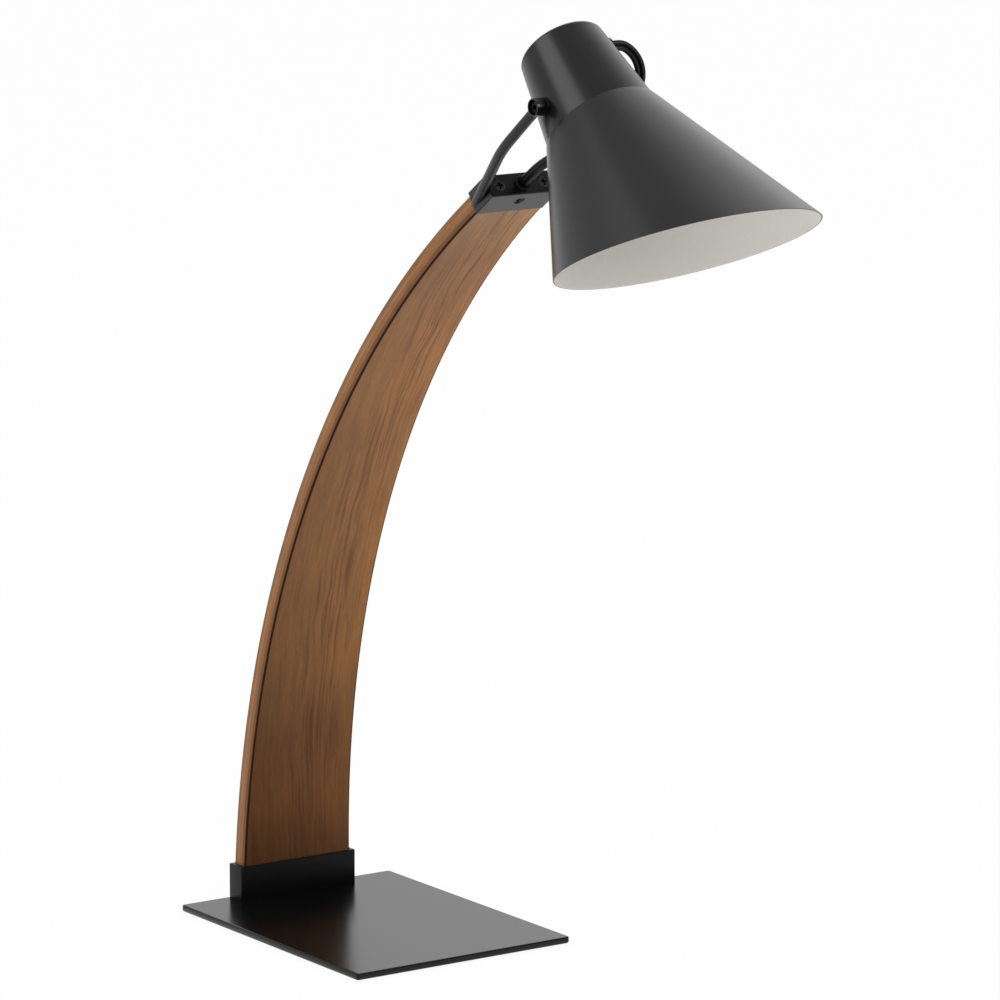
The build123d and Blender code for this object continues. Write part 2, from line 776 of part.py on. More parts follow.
# Nuts inside the neck, crowned to its inner face
with BuildPart() as pivot_nuts:
    with BuildSketch(pivot_plane.offset(nut_inner_face)):
        RegularPolygon(pivot_nut_flats / 2, 6, major_radius=False)
        Circle(pivot_screw_diameter / 2 + pivot_hole_clearance / 2, mode=Mode.SUBTRACT)
    extrude(amount=2 * pivot_nut_thickness)
    with BuildSketch(profile_plane):
        with BuildLine():
            Polyline(
                (0, near_s),
                (neck_radius(near_s) - neck_wall - seam_clearance, near_s),
                (neck_radius(far_s) - neck_wall - seam_clearance, far_s),
                (0, far_s),
                close=True,
            )
        make_face()
    revolve(axis=shade_axis, mode=Mode.INTERSECT)
    mirror(about=Plane.XZ)
pivot_nuts.part.label = "pivot_nuts"
export_step(pivot_nuts.part, "parts/pivot_nuts.step")

# Rubber gland in the neck's side, with a flange on each side of the sheet
gland_inner_end = neck_wall + gland_inner_flange
with BuildPart() as lead_gland:
    with BuildSketch(gland_plane.offset(-gland_inner_end)):
        Circle(gland_flange_diameter / 2)
    extrude(amount=gland_inner_end + gland_flange_thickness)
    gland_edge = lead_gland.edges().sort_by(Axis(gland_face, gland_dir))[-1]
    chamfer(gland_edge, gland_flange_thickness / 3)
    with BuildSketch(profile_plane):
        with BuildLine():
            Polyline(
                (neck_radius(neck_top) + seam_clearance, neck_top),
                (neck_radius(0) + seam_clearance, 0),
                (neck_radius(0) - neck_wall - seam_clearance, 0),
                (neck_radius(neck_top) - neck_wall - seam_clearance, neck_top),
                close=True,
            )
        make_face()
    revolve(axis=shade_axis, mode=Mode.SUBTRACT)
    with BuildSketch(gland_plane.offset(-gland_inner_end)):
        Circle(gland_diameter / 2)
    extrude(amount=gland_inner_end + gland_flange_thickness / 2)
    with BuildSketch(gland_plane.offset(-gland_inner_end)):
        Circle(lead_diameter / 2 + bush_clearance)
    extrude(amount=gland_inner_end + gland_flange_thickness, mode=Mode.SUBTRACT)
lead_gland.part.label = "lead_gland"
export_step(lead_gland.part, "parts/lead_gland.step")

# Free lead from the cap to the gland: up between the rods, over the far rod and round to the
# neck's far side. Its route follows the arm's end and then the pivot, and each arc is as large
# as its two runs allow.
bush_centre = cap_face.from_local_coords((lead_depth, 0, 0))
lead_start = bush_centre - end_plane.z_dir * cap_end_wall
lead_end = gland_face - gland_dir * gland_lead_end
lead_points = [
    lead_start,
    bush_centre + end_plane.z_dir * 9.0,
    end_plane.origin + Vector(31.0, 0.9, 29.4),
    end_plane.origin + Vector(42.8, 4.3, 35.7),
    end_plane.origin + Vector(50.8, 12.6, 43.4),
    pivot + Vector(-26.1, 24.5, -16.1),
    pivot + Vector(-19.8, 34.7, -7.4),
    pivot + Vector(-14.5, 41.6, 0.6),
    pivot + Vector(-12.2, 43.4, 10.9),
    pivot + Vector(-12.2, 41.5, 19.4),
    pivot + Vector(-13.3, 36.7, 25.9),
    gland_face + gland_dir * 6.3,
    lead_end,
]
lead_radii = []
for before, at, after in zip(lead_points, lead_points[1:], lead_points[2:]):
    run_in = at - before
    run_out = after - at
    half_turn = radians(run_in.get_angle(run_out)) / 2
    lead_radii.append(0.45 * min(run_in.length, run_out.length) / tan(half_turn))
print("lead radii", [round(r, 1) for r in lead_radii])
with BuildPart() as head_lead:
    with BuildLine() as lead_path:
        FilletPolyline(*lead_points, radius=lead_radii)
    with BuildSketch(Plane(origin=lead_start, z_dir=lead_path.line % 0)):
        Circle(lead_diameter / 2)
    sweep()
lead_area = 3.14159265 * lead_diameter**2 / 4
lead_length = sum(e.length for e in lead_path.line.edges())
print("lead length", round(lead_length, 1))
print("lead volume ratio", round(head_lead.part.volume / lead_area / lead_length, 5))
head_lead.part.label = "head_lead"
export_step(head_lead.part, "parts/head_lead.step")

# Lampholder, built up from the neck's closed top towards the mouth
lock_nut_s = neck_top + shade_sheet
cap_s = lock_nut_s + lock_nut_thickness
body_s = cap_s + holder_cap_length
floor_s = body_s + holder_floor
body_end = body_s + holder_length
shell_end = body_end - shell_recess
nipple_s = neck_top - top_nut_thickness - nipple_proud
with BuildPart() as holder_nipple:
    with BuildSketch(axis_plane.offset(nipple_s)):
        Circle(nipple_diameter / 2)
        Circle(nipple_bore / 2, mode=Mode.SUBTRACT)
    extrude(amount=cap_s + holder_cap_top - nipple_s)
holder_nipple.part.label = "holder_nipple"
export_step(holder_nipple.part, "parts/holder_nipple.step")

with BuildPart() as nipple_top_nut:
    with BuildSketch(axis_plane.offset(neck_top - top_nut_thickness)):
        RegularPolygon(top_nut_flats / 2, 6, major_radius=False)
        Circle(nipple_diameter / 2 + nipple_clearance, mode=Mode.SUBTRACT)
    extrude(amount=top_nut_thickness)
nipple_top_nut.part.label = "nipple_top_nut"
export_step(nipple_top_nut.part, "parts/nipple_top_nut.step")

with BuildPart() as nipple_lock_nut:
    with BuildSketch(axis_plane.offset(lock_nut_s)):
        RegularPolygon(lock_nut_flats / 2, 6, major_radius=False)
        Circle(nipple_diameter / 2 + nipple_clearance, mode=Mode.SUBTRACT)
    extrude(amount=lock_nut_thickness)
nipple_lock_nut.part.label = "nipple_lock_nut"
export_step(nipple_lock_nut.part, "parts/nipple_lock_nut.step")

with BuildPart() as holder_cap:
    with BuildSketch(axis_plane.offset(cap_s)):
        Circle(holder_cap_diameter / 2)
    extrude(amount=holder_cap_length)
    cap_top = holder_cap.edges().sort_by(Axis(pivot, axis_dir))[0]
    fillet(cap_top, holder_cap_edge_radius)
    with BuildSketch(axis_plane.offset(cap_s + holder_cap_top)):
        Circle(holder_cap_diameter / 2 - holder_cap_wall)
    extrude(amount=holder_cap_length, mode=Mode.SUBTRACT)
    with BuildSketch(axis_plane.offset(cap_s)):
        Circle(nipple_diameter / 2 + nipple_clearance)
    extrude(amount=holder_cap_top, mode=Mode.SUBTRACT)
    with BuildSketch(gland_plane):
        Circle(lead_diameter / 2 + lead_clearance)
    extrude(amount=holder_cap_wall - neck_radius(gland_s), mode=Mode.SUBTRACT)
holder_cap.part.label = "holder_cap"
export_step(holder_cap.part, "parts/holder_cap.step")

# Short lead from the gland to the inside of the holder's cap
inner_lead_end = holder_cap_diameter / 2 - holder_cap_wall - 1
inner_lead_length = neck_radius(gland_s) - gland_lead_end - inner_lead_end
with BuildPart() as holder_lead:
    with BuildSketch(gland_plane.offset(-gland_lead_end)):
        Circle(lead_diameter / 2)
    extrude(amount=-inner_lead_length)
holder_lead.part.label = "holder_lead"
export_step(holder_lead.part, "parts/holder_lead.step")

with BuildPart() as holder_body:
    with BuildSketch(axis_plane.offset(body_s)):
        Circle(holder_diameter / 2)
    extrude(amount=holder_length)
    mouth_edge = holder_body.edges().sort_by(Axis(pivot, axis_dir))[-1]
    chamfer(mouth_edge, shell_recess / 2)
    with BuildSketch(axis_plane.offset(floor_s)):
        Circle(shell_diameter / 2 + shell_clearance)
    extrude(amount=holder_length, mode=Mode.SUBTRACT)
holder_body.part.label = "holder_body"
export_step(holder_body.part, "parts/holder_body.step")

# Screw shell, a thin cup with a hole for the centre contact
shell_foot = floor_s + seam_clearance
with BuildPart() as holder_shell:
    with BuildSketch(axis_plane.offset(shell_foot)):
        Circle(shell_diameter / 2)
    extrude(amount=shell_end - shell_foot)
    with BuildSketch(axis_plane.offset(shell_foot + shell_wall)):
        Circle(shell_diameter / 2 - shell_wall)
    extrude(amount=holder_length, mode=Mode.SUBTRACT)
    with BuildSketch(axis_plane.offset(shell_foot)):
        Circle(shell_hole / 2)
    extrude(amount=shell_wall, mode=Mode.SUBTRACT)
holder_shell.part.label = "holder_shell"
export_step(holder_shell.part, "parts/holder_shell.step")

with BuildPart() as holder_contact:
    with BuildSketch(axis_plane.offset(shell_foot)):
        Circle(contact_diameter / 2)
    extrude(amount=contact_height)
    contact_edge = holder_contact.edges().sort_by(Axis(pivot, axis_dir))[-1]
    chamfer(contact_edge, contact_height / 4)
holder_contact.part.label = "holder_contact"
export_step(holder_contact.part, "parts/holder_contact.step")

# Bulb: contact, tapered foot and screw cap, and an opal glass of one globe on a waisted neck
bulb_contact_s = shell_foot + contact_height + seam_clearance
bulb_cap_s = bulb_contact_s + bulb_contact_height
with BuildPart() as bulb_contact:
    with BuildSketch(axis_plane.offset(bulb_contact_s)):
        Circle(bulb_contact_diameter / 2)
    extrude(amount=bulb_contact_height)
bulb_contact.part.label = "bulb_contact"
export_step(bulb_contact.part, "parts/bulb_contact.step")

with BuildPart() as bulb_cap:
    with BuildSketch(profile_plane):
        with BuildLine():
            Polyline(
                (0, bulb_cap_s),
                (bulb_contact_diameter / 2 + bulb_contact_height, bulb_cap_s),
                (bulb_cap_diameter / 2, bulb_cap_s + bulb_cap_foot),
                (bulb_cap_diameter / 2, bulb_cap_s + bulb_cap_length),
                (0, bulb_cap_s + bulb_cap_length),
                close=True,
            )
        make_face()
    revolve(axis=shade_axis)
bulb_cap.part.label = "bulb_cap"
export_step(bulb_cap.part, "parts/bulb_cap.step")

glass_s = bulb_cap_s + bulb_cap_length
waist_s = glass_s + bulb_neck_length
waist_arm = bulb_neck_radius + bulb_fillet
globe_arm = bulb_radius + bulb_fillet
globe_s = waist_s + sqrt(globe_arm**2 - waist_arm**2)
globe_x = waist_arm / globe_arm
globe_y = (waist_s - globe_s) / globe_arm
with BuildPart() as bulb_glass:
    for inset, mode in ((0, Mode.ADD), (bulb_wall, Mode.SUBTRACT)):
        shrunk = bulb_radius - inset
        with BuildSketch(profile_plane):
            with BuildLine():
                Line((0, glass_s), (bulb_neck_radius - inset, glass_s))
                waist = Line(
                    (bulb_neck_radius - inset, glass_s),
                    (bulb_neck_radius - inset, waist_s),
                )
                flare = TangentArc(
                    waist @ 1,
                    (shrunk * globe_x, globe_s + shrunk * globe_y),
                    tangent=waist % 1,
                )
                TangentArc(flare @ 1, (0, globe_s + shrunk), tangent=flare % 1)
                Line((0, globe_s + shrunk), (0, glass_s))
            make_face()
        revolve(axis=shade_axis, mode=mode)
bulb_glass.part.label = "bulb_glass"
export_step(bulb_glass.part, "parts/bulb_glass.step")
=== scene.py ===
import bmesh
import bpy
import json
from math import asin, cos, pi, radians, sin, sqrt, tan
import numpy as np
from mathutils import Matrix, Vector


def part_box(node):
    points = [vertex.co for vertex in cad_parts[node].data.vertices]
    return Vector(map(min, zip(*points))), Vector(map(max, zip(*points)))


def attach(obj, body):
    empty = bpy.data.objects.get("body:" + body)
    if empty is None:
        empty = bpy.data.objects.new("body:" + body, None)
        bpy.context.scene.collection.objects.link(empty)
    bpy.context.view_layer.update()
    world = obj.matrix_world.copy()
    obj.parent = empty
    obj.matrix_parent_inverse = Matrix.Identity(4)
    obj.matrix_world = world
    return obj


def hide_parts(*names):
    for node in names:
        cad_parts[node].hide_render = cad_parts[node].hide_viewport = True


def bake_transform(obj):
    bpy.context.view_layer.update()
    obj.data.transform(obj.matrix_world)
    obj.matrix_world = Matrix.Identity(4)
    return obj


# Table lamp: a flat steel base, a bent and tapered walnut arm with a steel cap, and a black
# steel shade that tilts between two round rods. Its sizes are in millimetres, and add_piece
# turns them into metres. The camera and the lamps are placed in metres.
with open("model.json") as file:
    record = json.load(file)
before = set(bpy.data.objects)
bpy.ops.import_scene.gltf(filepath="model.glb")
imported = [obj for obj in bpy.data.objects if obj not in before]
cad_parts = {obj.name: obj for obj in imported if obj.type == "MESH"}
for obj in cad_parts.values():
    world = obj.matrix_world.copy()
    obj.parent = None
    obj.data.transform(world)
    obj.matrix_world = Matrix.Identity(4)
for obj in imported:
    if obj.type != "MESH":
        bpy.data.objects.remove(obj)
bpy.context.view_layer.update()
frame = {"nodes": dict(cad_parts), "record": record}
nodes = frame["nodes"]
record = frame["record"]

# Camera: a long lens 3.4 m away and a little higher than the lamp, looking slightly down at it
# from the shade's open side. A fit to the photograph's corners gave its place, turn and lens.
camera_data = bpy.data.cameras.new("camera")
camera_data.sensor_fit = "HORIZONTAL"
camera_data.sensor_width = 36.0
camera_data.lens = 211.07
camera_data.clip_end = 20.0
camera = bpy.data.objects.new("camera", camera_data)
camera.location = (2.8381, -1.8606, 0.8926)
camera.rotation_euler = (radians(90 - 10.56), 0.0, radians(55.48))
bpy.context.scene.collection.objects.link(camera)
bpy.context.scene.camera = camera

# Free lead: a flat twin lead in one black PVC sheath, 6 mm wide. It comes straight out of
# the bush in the arm's cap, climbs over the far rod, goes round to the neck's far side and
# enters the gland there. It flexes when the shade tilts.
lead_width = 6.0
lead_thickness = 3.2
lead_depth = 6.15

# The arm is an arc about one axis over a short straight foot, so its upper end's place and
# directions follow from it. The steel cap continues it.
arm_radius = 536.7
arm_thickness = 11.34
arm_bend = radians(54.7)
straight_foot = 2.9
cap_length = 19.8
board_low = np.array(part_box("arm_board")[0]) * 1000
bend_x = board_low[0] + arm_thickness + arm_radius
bend_centre = np.array([bend_x, 0.0, board_low[2] + straight_foot])
outward = np.array([-cos(arm_bend), 0.0, sin(arm_bend)])
onward = np.array([sin(arm_bend), 0.0, cos(arm_bend)])
arm_end = bend_centre + outward * arm_radius

# The shade's axis runs from the closed neck to the mouth, through the pivot's axis. Distances
# along it are measured from there, and neck and cone meet at joint_s.
pivot = np.array(record["behaviour"]["joints"][0]["pos_m"]) * 1000
tilt = radians(45.72)
shade_axis = np.array([sin(tilt), 0.0, -cos(tilt)])
shade_front = np.array([cos(tilt), 0.0, sin(tilt)])
joint_s = 12.9
joint_radius = 32.44
neck_slope = 0.150


def neck_radius(s):
    """The neck's outer radius at s: a straight taper through the joint with the cone."""
    return joint_radius + neck_slope * (s - joint_s)


gland_s = -31.1
gland_turn = radians(19.8)
gland_dir = np.array([0.0, cos(gland_turn), 0.0]) + shade_front * sin(gland_turn)
gland_face = pivot + shade_axis * gland_s + gland_dir * neck_radius(gland_s)

bush_centre = arm_end + onward * cap_length + outward * lead_depth
lead_route = [
    bush_centre - onward * 2.0,
    bush_centre + onward * 9.0,
    arm_end + (31.0, 0.9, 29.4),
    arm_end + (42.8, 4.3, 35.7),
    arm_end + (50.8, 12.6, 43.4),
    pivot + (-26.1, 24.5, -16.1),
    pivot + (-19.8, 34.7, -7.4),
    pivot + (-14.5, 41.6, 0.6),
    pivot + (-12.2, 43.4, 10.9),
    pivot + (-12.2, 41.5, 19.4),
    pivot + (-13.3, 36.7, 25.9),
    gland_face + gland_dir * 6.3,
    gland_face - gland_dir * 1.0,
]


def spline_points(route, steps):
    """The points of a smooth order-3 NURBS line that has the route as its control points."""
    curve = bpy.data.curves.new("route", "CURVE")
    curve.dimensions = "3D"
    spline = curve.splines.new("NURBS")
    spline.points.add(len(route) - 1)
    for point, place in zip(spline.points, route):
        point.co = (*place, 1.0)
    spline.order_u = 3
    spline.use_endpoint_u = True
    spline.resolution_u = steps
    holder = bpy.data.objects.new("route", curve)
    mesh = bpy.data.meshes.new_from_object(holder)
    points = np.empty(3 * len(mesh.vertices))
    mesh.vertices.foreach_get("co", points)
    bpy.data.meshes.remove(mesh)
    bpy.data.objects.remove(holder)
    bpy.data.curves.remove(curve)
    return points.reshape(-1, 3)


def carried(section, path, facing):
    """A section carried along a path: each ring is path point + x * side + y * normal, where
    side is square to the path and to facing, so the section's flat faces point that way."""
    along = np.gradient(path, axis=0)
    along /= np.linalg.norm(along, axis=1, keepdims=True)
    side = np.cross(along, facing)
    side /= np.linalg.norm(side, axis=1, keepdims=True)
    normal = np.cross(side, along)
    x, y = section[None, :, 0:1], section[None, :, 1:2]
    return path[:, None] + x * side[:, None] + y * normal[:, None]


def skin(rings, joined=False):
    """Quads between neighbouring rings of an array (rings, points, 3). Each ring is a loop.
    The last ring joins the first if joined is true, and otherwise a face closes each end."""
    count, around = rings.shape[:2]
    index = np.arange(count * around).reshape(count, around)
    here = index if joined else index[:-1]
    there = np.roll(index, -1, axis=0)[: len(here)]
    quads = np.stack([here, np.roll(here, -1, 1), np.roll(there, -1, 1), there], axis=-1)
    ends = [] if joined else [index[0].tolist(), index[-1].tolist()]
    return rings.reshape(-1, 3), quads.reshape(-1, 4).tolist() + ends


def add_piece(name, points, faces, body, sharp=35.0):
    """A closed mesh from points in millimetres, facing outwards, smooth except across edges
    of more than sharp degrees. It rides on body, or on nothing if body is None."""
    mesh = bpy.data.meshes.new(name)
    mesh.from_pydata((points / 1000).tolist(), [], faces)
    shell = bmesh.new()
    shell.from_mesh(mesh)
    inside_out = shell.calc_volume(signed=True) < 0
    shell.free()
    if inside_out:
        mesh.flip_normals()
    mesh.shade_smooth()
    mesh.set_sharp_from_angle(angle=radians(sharp))
    piece = bpy.data.objects.new(name, mesh)
    bpy.context.scene.collection.objects.link(piece)
    if body:
        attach(piece, body)
    return piece


def linear(colour):
    """An sRGB hex colour as linear RGBA: each channel follows the sRGB transfer curve."""
    channels = [int(colour[i : i + 2], 16) / 255 for i in (1, 3, 5)]
    return [c / 12.92 if c < 0.04045 else ((c + 0.055) / 1.055) ** 2.4 for c in channels] + [1.0]


def node(tree, kind, sockets={}, stops=(), **settings):
    """Adds a shader node. Settings are its properties. Sockets are its inputs, each given a
    value or another node's output. Stops are a colour ramp's sRGB colours, each with its
    place, from 0 for the first to 1 for the last."""
    made = tree.nodes.new("ShaderNode" + kind)
    for name, value in settings.items():
        setattr(made, name, value)
    for name, value in sockets.items():
        if isinstance(value, bpy.types.NodeSocket):
            tree.links.new(value, made.inputs[name])
        else:
            made.inputs[name].default_value = value
    if stops:
        band = made.color_ramp.elements
        band[0].color = linear(stops[0][1])
        band[1].color = linear(stops[-1][1])
        for place, colour in stops[1:-1]:
            band.new(place).color = linear(colour)
    return made


def material(name, **sockets):
    """A new material with its Principled shader's inputs set, spaces written as underscores."""
    made = bpy.data.materials.new(name)
    made.use_nodes = True
    shader = made.node_tree.nodes["Principled BSDF"]
    for socket, value in sockets.items():
        shader.inputs[socket.replace("_", " ")].default_value = value
    return made, made.node_tree, shader


def speckled(name, grain, dark, light=None, detail=2.0, relief=0.0, height=0.1, **sockets):
    """A material whose colour wanders from dark to light over a noise with specks about grain
    mm wide. Without light, its light tone is a quarter brighter than dark. With a relief from
    0 to 1, the same noise also bumps the surface, by up to height mm."""
    made, tree, shader = material(name, **sockets)
    place = node(tree, "TexCoord").outputs["Object"]
    specks = node(tree, "TexNoise", {"Vector": place, "Scale": 1000 / grain, "Detail": detail})
    low = linear(dark)
    high = linear(light) if light else [min(c * 1.25, 1.0) for c in low[:3]] + [1.0]
    shades = node(tree, "MixRGB", {"Fac": specks.outputs["Fac"], "Color1": low, "Color2": high})
    tree.links.new(shades.outputs["Color"], shader.inputs["Base Color"])
    if relief:
        bump = node(tree, "Bump", {"Height": specks.outputs["Fac"], "Strength": relief,
                                   "Distance": height / 1000})
        tree.links.new(bump.outputs["Normal"], shader.inputs["Normal"])
    return made


# Sheath: flexible PVC, moulded smooth over two cores, so it has a soft sheen and faint waves
# as long as the lead is wide
lead_pvc = speckled("flexible PVC", lead_width, "#070707", "#0f0f10", relief=0.15, height=0.2,
                    Roughness=0.38, IOR=1.38)

# Twin section: a stadium round two cores, with a deep groove along the middle between them.
# The first formula draws its points towards the cores' middles, and lead_facing is the way
# that the flat side looks.
core_pull = 3
groove_share = 0.55
groove_reach = 0.6
lead_facing = np.array([0.81, -0.56, 0.18])
turn = np.linspace(0, 2 * pi, 48, endpoint=False)
core_offset = (lead_width - lead_thickness) / 2
core_place = np.tanh(np.cos(turn) * core_pull) / np.tanh(core_pull) * core_offset
wide = core_place + np.cos(turn) * lead_thickness / 2
dent = 1 - groove_share * np.exp(-((wide / groove_reach) ** 2))
lead_section = np.stack([wide, np.sin(turn) * dent * lead_thickness / 2], axis=-1)
lead_path = spline_points(lead_route, steps=14)
lead = add_piece("head_twin_lead", *skin(carried(lead_section, lead_path, lead_facing)), None)
lead.data.materials.append(lead_pvc)
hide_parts("head_lead")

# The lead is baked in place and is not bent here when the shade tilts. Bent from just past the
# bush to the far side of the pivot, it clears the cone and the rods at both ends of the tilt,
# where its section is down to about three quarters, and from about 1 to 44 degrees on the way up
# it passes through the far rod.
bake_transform(lead)

# Base plate: 4 mm steel plate, cut to a rounded rectangle, edges broken, powder coated satin
# black
plate_corner = 2.0
plate_break = 0.8
inner_corner = 0.6
underside_inset = 20.0


def loop(half_x, half_y, corner, z, middle=(0.0, 0.0), steps=8):
    """One ring round a rounded rectangle at height z: quarter circles of radius corner about
    the four inner corners."""
    angle = np.linspace(0, pi / 2, steps)[None, :] + np.arange(4)[:, None] * pi / 2
    sign_x = np.array([1, -1, -1, 1])[:, None]
    sign_y = np.array([1, 1, -1, -1])[:, None]
    x = middle[0] + sign_x * (half_x - corner) + corner * np.cos(angle)
    y = middle[1] + sign_y * (half_y - corner) + corner * np.sin(angle)
    return np.stack([x, y, np.full_like(x, z)], axis=-1).reshape(-1, 3)


def rounded_edge(top, width, fall):
    """The insets and heights up a quarter-round edge that ends at height top: at the foot of
    the round, at a third and two thirds of its turn, and on top. fall is the share of width
    that a quarter circle has gone in after a third of its turn."""
    return [(0.0, top - width), (width * fall, top - width * 0.5),
            (width * 0.5, top - width * fall), (width, top)]


plate_low, plate_high = (np.array(corner) * 1000 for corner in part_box("base_plate"))
half = (plate_high - plate_low) / 2
rings = [
    loop(half[0] - inset, half[1] - inset, max(plate_corner - inset, inner_corner), z)
    for inset, z in (
        (underside_inset, plate_low[2]),
        (plate_break, plate_low[2]),
        (0.0, plate_low[2] + plate_break),
        *rounded_edge(plate_high[2], plate_break, 0.13),
        (plate_break + inner_corner, plate_high[2]),
    )
]
plate = add_piece("steel_base_plate", *skin(np.array(rings)), "stand", 60.0)

# Satin powder coat: nearly black, with a soft reflection of the room and a fine leathery
# grain, drawn 1.1 mm wide so that it shows
plate_coat = speckled("satin powder coated steel", 1.1, "#030303", "#080808", detail=3.0,
                      relief=0.25, Roughness=0.22, IOR=1.34)
plate.data.materials.append(plate_coat)
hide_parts("base_plate")


def refinish(names, finish):
    """Gives the CAD's own nodes a finish in place of their plain one."""
    for name in names:
        nodes[name].data.materials.clear()
        nodes[name].data.materials.append(finish)


# Felt pad under the plate: pressed black wool felt, 1 mm thick, glued on. It is dull, with
# tangled fibres drawn 0.8 mm wide so that they show.
felt = speckled("pressed wool felt", 0.8, "#121212", "#2c2b2a", detail=4.0, Roughness=0.95,
                Sheen_Weight=0.3)
refinish(["base_pad"], felt)

# Foot socket: an open box of folded and welded steel on the plate's rear edge, powder coated
# black, that holds the arm's foot
socket_floor = 2.0
socket_wall = 1.25
socket_side = 2.5
socket_break = 0.5
socket_corner = 0.7
socket_inner_corner = 0.3
socket_low, socket_high = (np.array(corner) * 1000 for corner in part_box("foot_socket"))
middle = (socket_low + socket_high) / 2
half = (socket_high - socket_low) / 2
rings = [
    loop(half[0] - inset, half[1] - inset, socket_corner, z, middle)
    for inset, z in ((0.0, socket_low[2]), *rounded_edge(socket_high[2], socket_break, 0.12))
]
rings += [
    loop(half[0] - socket_wall, half[1] - socket_side, socket_inner_corner, z, middle)
    for z in (socket_high[2], socket_low[2] + socket_floor)
]
socket = add_piece("steel_foot_socket", *skin(np.array(rings)), "stand")

# Matt powder coat: the blackest part of the lamp, as it mirrors little. Its grain is drawn
# 0.9 mm wide so that it shows.
socket_coat = speckled("matt powder coated steel box", 0.9, "#010101", "#040404", detail=3.0,
                       relief=0.2, Roughness=0.3, IOR=1.27)
socket.data.materials.append(socket_coat)
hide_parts("foot_socket")

# Arm: beech plies bent round a former and faced with walnut, 11.3 mm thick, straight sided
# and tapering seen square to its chord, edges just softened, and sealed with a satin lacquer.
# A groove for the lead runs up its back.
foot_half = 38.1
top_half = 22.5
arris = 0.8
face_margin = 0.35
side_margin = 0.5
cover_half = 6.05
cover_depth = 2.05
chord_dir = np.array([sin(arm_bend / 2), 0.0, cos(arm_bend / 2)])
chord = 2 * arm_radius * sin(arm_bend / 2)
arm_foot = bend_centre - np.array([arm_radius, 0.0, 0.0])

# Section of the board: share of the half width, offset in mm, depth from the front face, and 1
# on the rounded front arris, where a dark painted shadow line is drawn along the edge
quarter = np.linspace(0, pi / 2, 5)
right_front = [(1, -arris + arris * sin(a), arris - arris * cos(a), 1) for a in quarter]
right_front = [(1, -arris - face_margin, 0, 0), *right_front, (1, 0, arris + side_margin, 0)]
right_rear = [(s, o, arm_thickness - d, 0) for s, o, d, dark in right_front[::-1]]
groove = [(0, cover_half, arm_thickness, 0), (0, cover_half, arm_thickness - cover_depth, 0)]
half_section = [(0.5, 0, 0, 0), *right_front, *right_rear, *groove]
board_section = np.array(half_section + [(-s, -o, d, e) for s, o, d, e in half_section[::-1]])
angles = np.linspace(0, arm_bend, 97)[:, None]


def bent(section):
    """Rings up the bent board: each point lies on a circle about the bend's axis at radius
    arm_radius + depth, and its place across is its share of a half width, which falls in a
    straight line along the chord, + its offset. One more ring below ends the straight foot."""
    share, offset, depth = section.T[:3, None]
    radius = arm_radius + depth
    x = bend_centre[0] - radius * np.cos(angles)
    z = bend_centre[2] + radius * np.sin(angles)
    along = (x - arm_foot[0]) * chord_dir[0] + (z - arm_foot[2]) * chord_dir[2]
    width = foot_half + (top_half - foot_half) * along / chord
    rings = np.stack([x, share * width + offset, z], axis=-1)
    foot_ring = rings[:1] - np.array([0, 0, bend_centre[2] - board_low[2]])
    return np.concatenate([foot_ring, rings])


def grain_attribute(piece):
    """Stores the wood's own coordinates, in mm: length along the bend, place across the board,
    and depth from the front face."""
    points = np.empty(3 * len(piece.data.vertices))
    piece.data.vertices.foreach_get("co", points)
    points = points.reshape(-1, 3) * 1000
    angle = np.arctan2(points[:, 2] - bend_centre[2], bend_centre[0] - points[:, 0])
    radius = np.hypot(points[:, 2] - bend_centre[2], points[:, 0] - bend_centre[0])
    grain = np.stack([angle * arm_radius, points[:, 1], radius - arm_radius], axis=-1)
    attribute = piece.data.attributes.new("grain", "FLOAT_VECTOR", "POINT")
    attribute.data.foreach_set("vector", grain.astype(np.float32).ravel())


board = add_piece("walnut_arm", *skin(bent(board_section)), "stand")
grain_attribute(board)
# Painted shade along the front arris: 1 marks the points of its dark shadow line
attribute = board.data.attributes.new("arris", "FLOAT", "POINT")
arris_shadow_points = np.tile(board_section[:, 3], 1 + len(angles))
attribute.data.foreach_set("value", arris_shadow_points.astype(np.float32))


